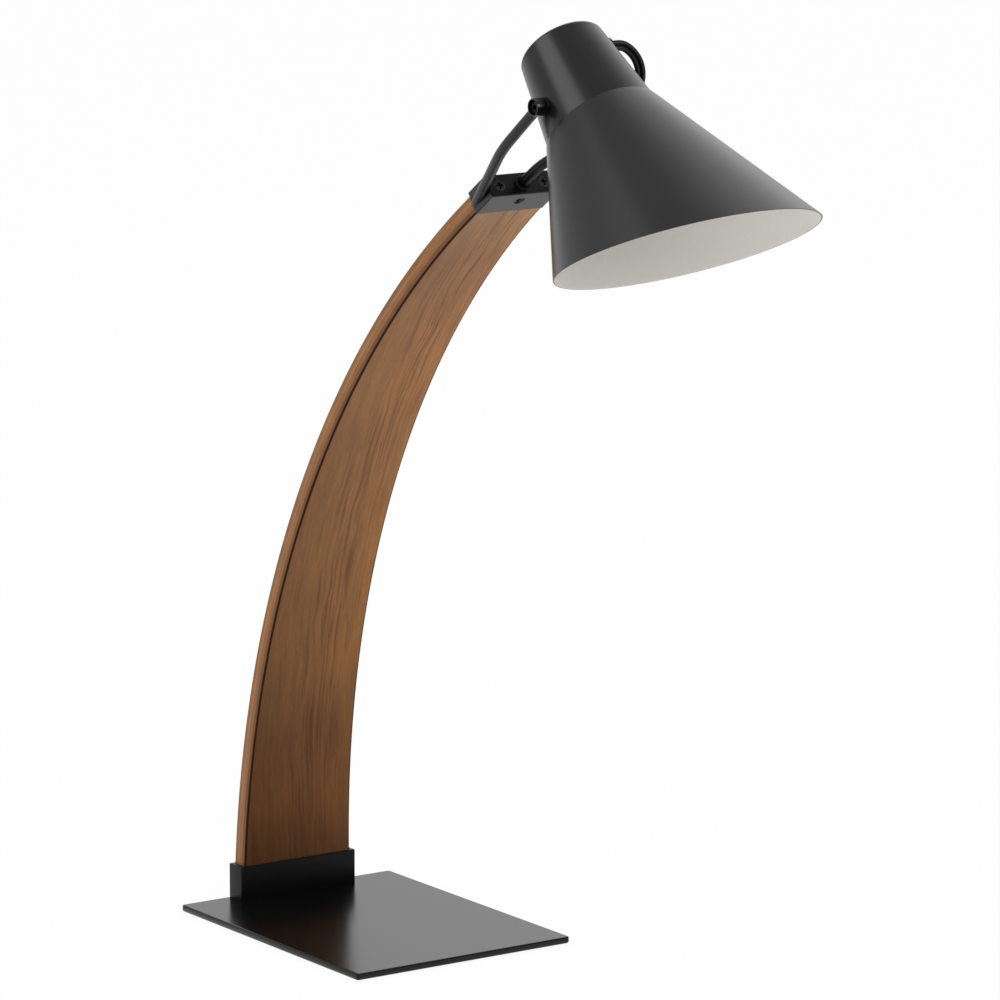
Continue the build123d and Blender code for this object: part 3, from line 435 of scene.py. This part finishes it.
def grained(name, base, streak_share, streak_tilt, zone):
    """Lacquered wood in its own coordinates. base makes its plain colour from the grain vector.
    Over it lie mottled patches some 8 mm across, wavy dark growth streaks 20 to 60 mm long and 1
    mm wide that lean by streak_tilt from the board's length and are strongest in the zone
    (centre, half width) across it, and short pores drawn 0.5 mm wide so that they show. The
    satin lacquer dulls what it mirrors. The front arris is painted near black as a shadow line,
    and it hardly shines at all."""
    made, tree, shader = material(name, Roughness=0.5, IOR=1.32)
    grain = node(tree, "Attribute", attribute_name="grain").outputs["Vector"]
    axes = node(tree, "SeparateXYZ", {"Vector": grain}).outputs

    # The streaks wander sideways by a few mm over some 60 mm of length
    wander = 9.0
    slow = node(tree, "Mapping", {"Vector": grain, "Scale": (1 / 60, 1 / 30, 1 / 30)})
    wave = node(tree, "TexNoise", {"Vector": slow.outputs[0], "Scale": 1.0, "Detail": 2.0})
    lean = node(tree, "Math", {0: axes["X"], 1: streak_tilt, 2: axes["Y"]},
                operation="MULTIPLY_ADD")
    across = node(tree, "Math", {0: wave.outputs["Fac"], 1: wander, 2: lean.outputs[0]},
                  operation="MULTIPLY_ADD")
    place = node(tree, "CombineXYZ", {"X": axes["X"], "Y": across.outputs[0], "Z": axes["Z"]})

    # Noises for the streaks, pores and patches, each with its size in mm, detail and roughness
    noises = []
    for size, detail, rough in (((60, 2.1, 2.1), 3.0, 0.55), ((7, 0.5, 0.5), 1.0, 0.5),
                                ((40, 8, 8), 4.0, 0.65)):
        scaled = node(tree, "Mapping", {"Vector": place.outputs[0],
                                        "Scale": [1 / millimetres for millimetres in size]})
        noise = node(tree, "TexNoise", {"Vector": scaled.outputs[0], "Scale": 1.0,
                                        "Detail": detail, "Roughness": rough})
        noises.append(noise.outputs["Fac"])
    streak, pore, patch = noises

    # The streaks fall from full strength in the zone's middle to 0.3 of it outside the zone
    off = node(tree, "Math", {0: axes["Y"], 1: zone[0]}, operation="SUBTRACT")
    off = node(tree, "Math", {0: off.outputs[0]}, operation="ABSOLUTE")
    strong = node(tree, "MapRange", {"Value": off.outputs[0], "From Min": zone[1] * 0.4,
                                     "From Max": zone[1] * 2.2, "To Min": streak_share,
                                     "To Max": streak_share * 0.3})
    lines = node(tree, "MapRange", {"Value": streak, "From Min": 0.35, "From Max": 0.55,
                                    "To Min": 1.0, "To Max": 0.0})
    lines = node(tree, "Math", {0: lines.outputs[0], 1: strong.outputs[0]}, operation="MULTIPLY")

    # Patches make the plain colour up to 15 per cent lighter or darker, and pores darken it
    mottle = node(tree, "MapRange", {"Value": patch, "From Min": 0.3, "From Max": 0.7,
                                     "To Min": 0.85, "To Max": 1.15})
    pores = node(tree, "MapRange", {"Value": pore, "From Min": 0.3, "From Max": 0.44,
                                    "To Min": 0.82, "To Max": 1.0})
    tone = node(tree, "Math", {0: mottle.outputs[0], 1: pores.outputs[0]}, operation="MULTIPLY")
    plain = node(tree, "VectorMath", {0: base(tree, axes), "Scale": tone.outputs[0]},
                 operation="SCALE")
    dark_line = node(tree, "VectorMath", {0: plain.outputs[0], 1: (0.47, 0.35, 0.24)},
                     operation="MULTIPLY")
    streaked = node(tree, "MixRGB", {"Fac": lines.outputs[0], "Color1": plain.outputs[0],
                                     "Color2": dark_line.outputs[0]})

    # Painted shade: the arris turns near black as a shadow line, and it barely mirrors the room
    arris_shadow_line = node(tree, "Attribute", attribute_name="arris").outputs["Fac"]
    edge = node(tree, "Math", {0: arris_shadow_line, 1: 0.92}, operation="MULTIPLY")
    colour = node(tree, "MixRGB", {"Fac": edge.outputs[0], "Color1": streaked.outputs[0],
                                   "Color2": linear("#271206")})
    gloss = node(tree, "MapRange", {"Value": arris_shadow_line, "To Min": 0.5, "To Max": 0.12})
    relief = node(tree, "Bump", {"Height": tone.outputs[0], "Strength": 0.2, "Distance": 0.0002})
    for made_node, socket in ((colour, "Base Color"), (gloss, "Specular IOR Level"),
                              (relief, "Normal")):
        tree.links.new(made_node.outputs[0], shader.inputs[socket])
    return made


def veneer_colour_and_painted_shade(tree, axes):
    """Walnut, darker at the foot and lighter towards the top: partly its own broad tone, partly
    painted shade where the black plate leaves the foot in the dark, and painted light where the
    upper face looks down at the white floor. One flank of the sheet is lighter than the other,
    like sapwood."""
    face_length = 512.0
    flank_reach = 30.0
    share = node(tree, "Math", {0: axes["X"], 1: face_length}, operation="DIVIDE")
    # The ramp along the length holds painted shade near the foot and painted light near the top
    tone = node(tree, "ValToRGB", {"Fac": share.outputs[0]}, stops=[
        (0.0, "#4b2b10"), (0.1, "#6a411c"), (0.19, "#6a4420"), (0.3, "#7e542d"),
        (0.6, "#8a5f37"), (0.72, "#95663b"), (0.9, "#8e623c"), (1.0, "#a17850")])
    flank = node(tree, "MapRange", {"Value": axes["Y"], "From Min": -flank_reach,
                                    "From Max": flank_reach, "To Min": 0.84, "To Max": 1.26})
    return node(tree, "VectorMath", {0: tone.outputs[0], "Scale": flank.outputs[0]},
                operation="SCALE").outputs[0]


def ply_colour(tree, axes):
    """Plywood edge: the plies' bands from the front face to the rear one, with glue lines."""
    share = node(tree, "Math", {0: axes["Z"], 1: arm_thickness}, operation="DIVIDE")
    return node(tree, "ValToRGB", {"Fac": share.outputs[0]}, stops=[
        (0.0, "#6c4220"), (0.24, "#754925"), (0.27, "#553015"), (0.3, "#8a5d34"),
        (0.5, "#97663a"), (0.53, "#80552f"), (0.56, "#9f6d3e"), (0.74, "#9e6d3f"),
        (0.77, "#7c5434"), (0.8, "#93663c"), (1.0, "#845c38")]).outputs[0]


# The board's two sides show its plies, and all else is veneer: warm brown with dark streaks a
# little off its middle and painted shade towards the foot, while the plies run in quiet bands
# along the edge
side_share = 0.75
walnut_face = grained("lacquered walnut veneer", veneer_colour_and_painted_shade, 0.75, 0.06, (7.0, 10.0))
walnut_edge = grained("lacquered plywood edge", ply_colour, 0.3, 0.0, (0.0, 60.0))
board.data.materials.append(walnut_face)
board.data.materials.append(walnut_edge)
normals = np.empty(3 * len(board.data.polygons))
board.data.polygons.foreach_get("normal", normals)
side_faces = (np.abs(normals.reshape(-1, 3)[:, 1]) > side_share).astype(np.int32)
board.data.polygons.foreach_set("material_index", side_faces)
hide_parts("arm_board")

# Strip over the lead's groove: the same wood, 12 mm wide and 2 mm thick, bent with the arm and
# glued flush into its back
strip_half = 6.0
strip_depth = 2.0
strip_back = arm_thickness - strip_depth
strip_section = np.array([(0, strip_half, arm_thickness), (0, strip_half, strip_back),
                          (0, -strip_half, strip_back), (0, -strip_half, arm_thickness)])
strip = add_piece("walnut_groove_strip", *skin(bent(strip_section)), "stand")
grain_attribute(strip)
strip.data.materials.append(walnut_face)
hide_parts("arm_cord_cover")

# Yoke rods: 6 mm round steel bar, bent cold to one radius, welded to the cap's sides where
# they are ground flat, and to the pivot sleeves. Powder coated with the rest of the yoke.
rod_radius = 3.0
rod_offset = 34.8
rod_bend_reach, rod_bend_rise = 42.8, 40.68
rod_bend_radius = 90.0
rod_weld_reach, rod_weld_rise = 3.8, 10.08
weld_face = 22.9
rod_start = 3.9
rod_tail = 8.0

# Satin coat on round bar: one narrow light line along each rod. Its grain is drawn 0.9 mm
# wide so that it shows.
rod_coat = speckled("satin powder coated bar", 0.9, "#090909", "#121213", relief=0.2,
                    Roughness=0.34, IOR=1.4)


def rounded(a, b, c, radius, steps):
    """The path a, b, c with its corner b replaced by an arc that touches both runs."""
    before, after = (a - b) / np.linalg.norm(a - b), (c - b) / np.linalg.norm(c - b)
    half_angle = np.arccos(before @ after) / 2
    bisector = (before + after) / np.linalg.norm(before + after)
    centre = b + bisector * radius / sin(half_angle)
    first = b + before * radius / tan(half_angle) - centre
    last = b + after * radius / tan(half_angle) - centre
    angle = np.arccos(first @ last / radius**2)
    part = np.linspace(0, 1, steps)[:, None]
    arc = (np.sin((1 - part) * angle) * first + np.sin(part * angle) * last) / sin(angle)
    return np.concatenate([a[None], centre + arc, c[None]])


def add_rod(name, side):
    """One rod from the sleeve to the cap: a circle along the bent path, pressed flat where it
    would pass the cap's side."""
    top = pivot + (0.0, side * rod_offset, 0.0)
    bend = arm_end + (rod_bend_reach, side * rod_offset, rod_bend_rise)
    weld = arm_end + (rod_weld_reach, side * weld_face, rod_weld_rise)
    down = (bend - top) / np.linalg.norm(bend - top)
    onto = (weld - bend) / np.linalg.norm(weld - bend)
    path = rounded(top + down * rod_start, bend, weld + onto * rod_tail, rod_bend_radius, 24)
    upper_run = np.linspace(path[0], path[1], 7)[:-1]
    lower_run = np.linspace(path[-2], path[-1], 40)[1:]
    path = np.concatenate([upper_run, path[1:-1], lower_run])
    turn = np.linspace(0, 2 * pi, 48, endpoint=False)
    circle = np.stack([np.cos(turn), np.sin(turn)], axis=-1) * rod_radius
    rings = carried(circle, path, np.cross(down, onto))
    rings[..., 1] = np.maximum(side * rings[..., 1], weld_face) * side
    rod = add_piece(name, *skin(rings), "stand", 50.0)
    rod.data.materials.append(rod_coat)
    return rod


for side, hand in ((1, "right"), (-1, "left")):
    rod = add_rod(f"bent_rod_{hand}", side)
    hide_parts(f"yoke_rod_{hand}")

# Pivot sleeves: turned steel, 10 mm outside, counterbored for the heads of the pivot screws,
# and welded to the rods' upper ends
sleeve_radius = 5.0
sleeve_bore = 2.06
sleeve_counterbore = 4.3
sleeve_inner = 32.0
sleeve_outer = 38.65
sleeve_break = 0.4
sleeve_touch = 0.1
counterbore_floor = 34.15

# Gloss coat: deep black with a small bright highlight. Its grain is drawn 0.8 mm wide.
sleeve_coat = speckled("gloss powder coated steel", 0.8, "#030303", "#080808", Roughness=0.22,
                       IOR=1.5)


def turned(profile, centre, axis, around=96):
    """A profile of (radius, distance along the axis) turned about that axis through centre:
    centre + distance * axis + radius * (cos * u + sin * v), with u and v square to the axis."""
    u = np.cross(axis, [0.3, 0.5, 0.8])
    u /= np.linalg.norm(u)
    v = np.cross(axis, u)
    turn = np.linspace(0, 2 * pi, around, endpoint=False)[None, :, None]
    radius, distance = np.array(profile).T[:, :, None, None]
    return centre + distance * axis + radius * (np.cos(turn) * u + np.sin(turn) * v)


sleeve_profile = [
    (sleeve_bore, sleeve_inner),
    (sleeve_radius - sleeve_break, sleeve_inner),
    (sleeve_radius - sleeve_touch, sleeve_inner + sleeve_touch),
    (sleeve_radius, sleeve_inner + sleeve_break),
    (sleeve_radius, sleeve_outer - sleeve_break),
    (sleeve_radius - sleeve_touch, sleeve_outer - sleeve_touch),
    (sleeve_radius - sleeve_break, sleeve_outer),
    (sleeve_counterbore + sleeve_touch, sleeve_outer),
    (sleeve_counterbore, sleeve_outer - sleeve_touch),
    (sleeve_counterbore, counterbore_floor),
    (sleeve_bore, counterbore_floor),
]
for side, hand in ((1.0, "right"), (-1.0, "left")):
    rings = turned(sleeve_profile, pivot, np.array([0.0, side, 0.0]), 64)
    sleeve = add_piece(f"turned_sleeve_{hand}", *skin(rings, joined=True), "stand")
    sleeve.data.materials.append(sleeve_coat)
    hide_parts(f"pivot_sleeve_{hand}")

# Shade neck: spun steel, 1 mm, a tapered cup with a closed round-edged top, powder coated
# matt black outside and stoved warm white inside. Its open end fits into the cone.
neck_top = -39.5
neck_end = 20.9
neck_edge = 3.0
sheet = 1.0
top_hole = 4.0
top_margin = 2.0
neck_around = 144
neck_wall = sheet * sqrt(1 + neck_slope**2)
edge_s = neck_top + neck_edge
edge_centre = neck_radius(edge_s) - neck_edge * sqrt(1 + neck_slope**2)
edge_angles = np.linspace(0, pi / 2, 9)
neck_rings = [-34.0, -20.0, 0.0, 18.0, neck_end]


def rounded_top(radius, angle):
    """A point of the cup's rounded edge, at this radius about the edge's centre."""
    return edge_centre + radius * sin(angle), edge_s - radius * cos(angle)


outer = [(top_hole, neck_top), (edge_centre - top_margin, neck_top)]
outer += [rounded_top(neck_edge, angle) for angle in edge_angles]
outer += [(neck_radius(s), s) for s in neck_rings]
inner = [(neck_radius(s) - neck_wall, s) for s in neck_rings[::-1]]
inner += [rounded_top(neck_edge - sheet, angle) for angle in edge_angles[::-1]]
inner += [(edge_centre - top_margin, neck_top + sheet), (top_hole, neck_top + sheet)]
rings = turned(outer + inner, pivot, shade_axis, neck_around)
neck = add_piece("spun_shade_neck", *skin(rings, joined=True), "head")

# Matt powder coat outside: dark grey where it mirrors the room, with soft edges to the
# highlights. Stoved enamel inside: warm, dull white that evens out the light. Their grain and
# orange peel are drawn 0.8 and 1.5 mm wide so that they show.
shade_black = speckled("matt powder coated steel", 0.8, "#080808", "#101011", detail=3.0,
                       relief=0.2, Roughness=0.28, IOR=1.4)
shade_white = speckled("white stoving enamel", 1.5, "#d8d5cf", "#dedbd5", relief=0.15,
                       Roughness=0.5, IOR=1.5)
neck.data.materials.append(shade_black)
neck.data.materials.append(shade_white)
band = np.arange(len(neck.data.polygons)) // neck_around
neck.data.polygons.foreach_set("material_index", (band >= len(outer)).astype(np.int32))
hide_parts("shade_neck")

# Shade cone: spun steel, 1 mm, its mouth cut by a plane that leans 23.6 degrees from square to
# the axis, so the front is longer than the back. Finished as the neck, with the black taken
# over the rounded rim to its inner edge.
cone_slope = 0.401
seam_gap = 0.02
mouth_s = 109.16
mouth_slope = tan(radians(23.58))
cone_around = 256
cone_wall = sheet * sqrt(1 + cone_slope**2)
cone_start = joint_s + (cone_wall + seam_gap) / (cone_slope - neck_slope)
sheet_rings = [0.0, 0.02, 0.3, 0.6, 0.85]
outer_rim = [(0.0, 0.5), (0.0, 0.2), (0.15, 0.05), (0.35, 0.0)]
inner_rim = [(0.65, 0.0), (0.85, 0.05), (1.0, 0.2), (1.0, 0.5)]


def cone_point(wall, along, back, turn):
    """A point of the cone's sheet. wall is 0 outside and 1 inside, along is 0 at the neck and
    1 at the mouth's plane, back is a distance short of it, and turn is measured from the
    front: the mouth is where s = mouth_s + mouth_slope * cos(turn) * radius(s)."""
    base = joint_radius - cone_slope * joint_s - wall * cone_wall
    lean = mouth_slope * np.cos(turn)
    end = (mouth_s + lean * base) / (1 - lean * cone_slope) - back
    s = cone_start + (end - cone_start) * along
    radius = base + cone_slope * s
    side = np.array([0.0, 1.0, 0.0])
    return (pivot + s[..., None] * shade_axis
            + (radius * np.cos(turn))[..., None] * shade_front
            + (radius * np.sin(turn))[..., None] * side)


turn = np.linspace(0, 2 * pi, cone_around, endpoint=False)[None, :]
walls = [(0.0, along, 0.0) for along in sheet_rings]
walls += [(wall, 1.0, back) for wall, back in outer_rim + inner_rim]
walls += [(1.0, along, 0.0) for along in sheet_rings[::-1]]
rings = cone_point(*np.array(walls).T[:, :, None], turn)
cone = add_piece("spun_shade_cone", *skin(rings, joined=True), "head")
cone.data.materials.append(shade_black)
cone.data.materials.append(shade_white)

# The white starts at the second ring of inner_rim
first_white = len(sheet_rings) + len(outer_rim) + 1
band = np.arange(len(cone.data.polygons)) // cone_around
inside = ((band >= first_white) & (band < len(walls) - 1)).astype(np.int32)
cone.data.polygons.foreach_set("material_index", inside)
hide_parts("shade_cone")

# Bulb glass: a 50 mm globe on a waisted neck, blown in one piece from opal white glass and
# cemented into the bulb's screw cap
glass_s = 12.8
waist_s = 17.3
waist_radius = 12.9
globe_radius = 25.0
flare_radius = 25.0
tip_angle = 0.03
centres_apart = globe_radius + flare_radius
globe_s = waist_s + sqrt(centres_apart**2 - (waist_radius + flare_radius) ** 2)
meet = asin((globe_s - waist_s) / centres_apart)
outer = [(waist_radius, glass_s), (waist_radius, waist_s)]
outer += [(waist_radius + flare_radius * (1 - cos(a)), waist_s + flare_radius * sin(a))
          for a in np.linspace(0, meet, 12)[1:]]
outer += [(globe_radius * cos(a), globe_s + globe_radius * sin(a))
          for a in np.linspace(-meet, pi / 2 - tip_angle, 30)[1:]]
glass = add_piece("opal_bulb_glass", *skin(turned(outer, pivot, shade_axis)), "head")

# Opal glass: milky, with a little light scattered just under its surface, a smooth shine and
# faint clouds 9 mm wide
opal = speckled("opal glass", 9, "#eeece7", "#f4f2ee", Roughness=0.25, IOR=1.52,
                Subsurface_Weight=0.3, Subsurface_Radius=(0.004, 0.004, 0.004))
glass.data.materials.append(opal)
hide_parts("bulb_glass")

# Cap screws: two countersunk wood screws in the cap's end and a short one in its front, with
# cross recesses in dished heads
screw_radius = 3.5
screw_height = 1.9
shank_radius = 1.75
rim_width = 0.7
recess_half = 2.0
recess_arm = 0.6
recess_depth = 1.4
recess_edge = 0.12
end_screw_length, end_screw_dish = 15.0, 0.2
end_screw_depth = 6.4
end_screw_places = (-15, 15)
front_screw_length, front_screw_dish = 3.1, 0.6
front_screw_height = 11.6
cap_proud = 0.4


def cap_screw(face, along, length, dish):
    """A screw down from the point face, against the direction along: the radius and depth of
    each ring follow the profile of dished head, cone and shank, and where a point of the head
    lies inside the cross recess, its depth grows to the recess's."""
    head = [(r, dish) for r in np.linspace(0.05, screw_radius - rim_width, 26)]
    head += [(screw_radius - rim_width * 0.8, 0.12), (screw_radius - rim_width * 0.55, 0.0),
             (screw_radius - rim_width * 0.35, 0.03), (screw_radius, 0.3)]
    shank = [(shank_radius, screw_height), (shank_radius, length)]
    radius, depth = np.array(head + shank).T[:, :, None]
    turn = np.linspace(0, 2 * pi, 96, endpoint=False)[None, :]
    x, y = np.abs(radius * np.cos(turn)), np.abs(radius * np.sin(turn))
    bar = np.minimum(np.maximum(x - recess_half, y - recess_arm),
                     np.maximum(y - recess_half, x - recess_arm))
    sunk = np.clip(0.5 - bar / recess_edge, 0, 1) * (depth <= dish)
    depth = depth + sunk * (recess_depth - dish)
    u = np.array([0.0, 1.0, 0.0])
    v = np.cross(along, u)
    return skin(face - depth[..., None] * along
                + (radius * np.cos(turn))[..., None] * u
                + (radius * np.sin(turn))[..., None] * v)


end_middle = arm_end + onward * cap_length + outward * end_screw_depth
end_screws = [cap_screw(end_middle + (0.0, y, 0.0), onward, end_screw_length, end_screw_dish)
              for y in end_screw_places]
points = np.concatenate([shell_points for shell_points, faces in end_screws])
count = len(end_screws[0][0])
faces = end_screws[0][1] + [[i + count for i in face] for face in end_screws[1][1]]
front_place = arm_end - outward * cap_proud + onward * front_screw_height
front_screw = cap_screw(front_place, -outward, front_screw_length, front_screw_dish)

# Black oxide on steel: it shines a little greyer than the paint round it. Its mottle is drawn
# 0.7 mm wide so that it shows.
screw_steel = speckled("black oxide steel", 0.7, "#454546", "#565657", Roughness=0.36,
                       Metallic=1.0)
for name, shell, cad_name in (("cap_end_screws", (points, faces), "end_cap_screws"),
                              ("cap_front_screw", front_screw, "front_cap_screw")):
    screw = add_piece(name, *shell, "stand", 25.0)
    screw.data.materials.append(screw_steel)
    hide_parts(cad_name)

# Small metal, rubber and moulded parts keep their machined shapes and get their finishes, each
# with its colour, roughness, IOR if it isn't a metal, and nodes. All have a faint mottle,
# drawn 0.9 mm wide so that it shows.
finishes = {
    # Socket-head screws and nuts, oiled black and darkened further as painted shade in the
    # sleeves' counterbores: dark and dull, hardly seen in their holes
    "oiled black steel with painted recess shade": ("#060606", 0.5, 1.25, ["pivot_screws", "pivot_nuts"]),
    # Rubber and nylon: matt black with no highlight
    "moulded rubber": ("#050505", 0.65, 1.3, ["lead_bush", "lead_gland", "mains_inlet"]),
    "moulded nylon": ("#050505", 0.55, 1.3, ["saddle_washers"]),
    # Lampholder's two halves: brownish black with a smooth sheen
    "moulded phenolic": ("#141312", 0.35, 1.5, ["holder_cap", "holder_body"]),
    # Leads inside the arm and the neck: black with a soft sheen
    "cable PVC": ("#0d0d0e", 0.4, 1.5, ["arm_lead", "holder_lead"]),
    # Cap on the arm: the rods' satin paint on flat steel, so it mirrors the room as dark grey
    "satin coated cap": ("#080909", 0.33, 1.45, ["end_cap"]),
    # Plated and drawn metals: bluish white zinc, grey-black zinc, yellow brass, pale aluminium
    "bright zinc plate": ("#b8babd", 0.32, None, ["base_screws", "nipple_lock_nut"]),
    "black zinc plate": ("#3c3c3e", 0.35, None, ["holder_nipple", "nipple_top_nut"]),
    "turned brass": ("#c9a463", 0.3, None, ["holder_contact"]),
    "drawn aluminium": ("#c8c9ca", 0.3, None, ["holder_shell", "bulb_cap", "bulb_contact"]),
}
for name, (colour, roughness, index, users) in finishes.items():
    kind = {"IOR": index} if index else {"Metallic": 1.0}
    refinish(users, speckled(name, 0.9, colour, Roughness=roughness, **kind))

# Studio floor: wide and pale, plain white to the camera and to mirrors, with a rest of its own
# shading that keeps the lamp's shadow
floor_half = 30
white_share = 0.94
floor_mesh = bpy.data.meshes.new("floor")
corners = [(-floor_half, -floor_half, 0), (floor_half, -floor_half, 0),
           (floor_half, floor_half, 0), (-floor_half, floor_half, 0)]
floor_mesh.from_pydata(corners, [], [(0, 1, 2, 3)])
floor = bpy.data.objects.new("floor", floor_mesh)
bpy.context.scene.collection.objects.link(floor)
floor_paint, tree, shader = material("pale studio floor", Base_Color=linear("#f6f6f6"),
                                     Roughness=0.9, Specular_IOR_Level=0.0)
path = node(tree, "LightPath")
seen = node(tree, "Math", {0: path.outputs["Is Camera Ray"], 1: path.outputs["Is Glossy Ray"]},
            operation="MAXIMUM")
seen = node(tree, "Math", {0: seen.outputs[0], 1: path.outputs["Is Transmission Ray"]},
            operation="MAXIMUM")
share = node(tree, "Math", {0: seen.outputs[0], 1: white_share}, operation="MULTIPLY")
glow = node(tree, "Emission", {"Color": (1, 1, 1, 1), "Strength": 1.0})
both = node(tree, "MixShader", {"Fac": share.outputs[0], 1: shader.outputs[0],
                                2: glow.outputs[0]})
tree.links.new(both.outputs[0], tree.nodes["Material Output"].inputs["Surface"])
floor.data.materials.append(floor_paint)

# Room: white to the camera, a little dimmer as light on the lamp. What shines in the paint is
# a bright window behind the lamp and a room that is half as bright to one side.
window_way = (-0.55, 0.6, 0.58)
dim_way = (0.85, 0.53, 0.0)
world = bpy.data.worlds.new("studio")
bpy.context.scene.world = world
world.use_nodes = True
tree = world.node_tree
path = node(tree, "LightPath")
seen = node(tree, "Math", {0: path.outputs["Is Camera Ray"],
                           1: path.outputs["Is Transmission Ray"]}, operation="MAXIMUM")
way = node(tree, "TexCoord").outputs["Generated"]
window = node(tree, "VectorMath", {0: way, 1: window_way}, operation="DOT_PRODUCT")
window = node(tree, "MapRange", {"Value": window.outputs["Value"], "From Min": 0.82,
                                 "From Max": 0.97, "To Min": 0.7, "To Max": 1.5})
dim = node(tree, "VectorMath", {0: way, 1: dim_way}, operation="DOT_PRODUCT")
dim = node(tree, "MapRange", {"Value": dim.outputs["Value"], "From Min": 0.1, "From Max": 0.6,
                              "To Min": 1.0, "To Max": 0.5})
room = node(tree, "Math", {0: window.outputs[0], 1: dim.outputs[0]}, operation="MULTIPLY")
ambient = node(tree, "Mix", {"Factor": path.outputs["Is Glossy Ray"], "A": 0.8,
                             "B": room.outputs[0]}, data_type="FLOAT")
level = node(tree, "Mix", {"Factor": seen.outputs[0], "A": ambient.outputs[0], "B": 1.0},
             data_type="FLOAT")
tree.links.new(level.outputs[0], tree.nodes["Background"].inputs["Strength"])
tree.nodes["Background"].inputs["Color"].default_value = (1, 1, 1, 1)


def soft_lamp(name, place, aim, size, power):
    """A square area lamp at place, turned to face aim."""
    data = bpy.data.lights.new(name, "AREA")
    data.size = size
    data.energy = power
    lamp = bpy.data.objects.new(name, data)
    lamp.location = place
    lamp.rotation_euler = (Vector(aim) - Vector(place)).to_track_quat("-Z", "Y").to_euler()
    bpy.context.scene.collection.objects.link(lamp)


# Lamps: a key light in front of the shade, and one high on the near side that gives the
# neck its highlight
soft_lamp("key", (1.7, 0.3, 1.3), (0.1, 0, 0.3), 0.8, 9.0)
soft_lamp("side", (-0.58, -1.38, 1.85), (0.2, 0, 0.5), 1.1, 10.0)
bpy.context.scene.view_settings.view_transform = "Standard"
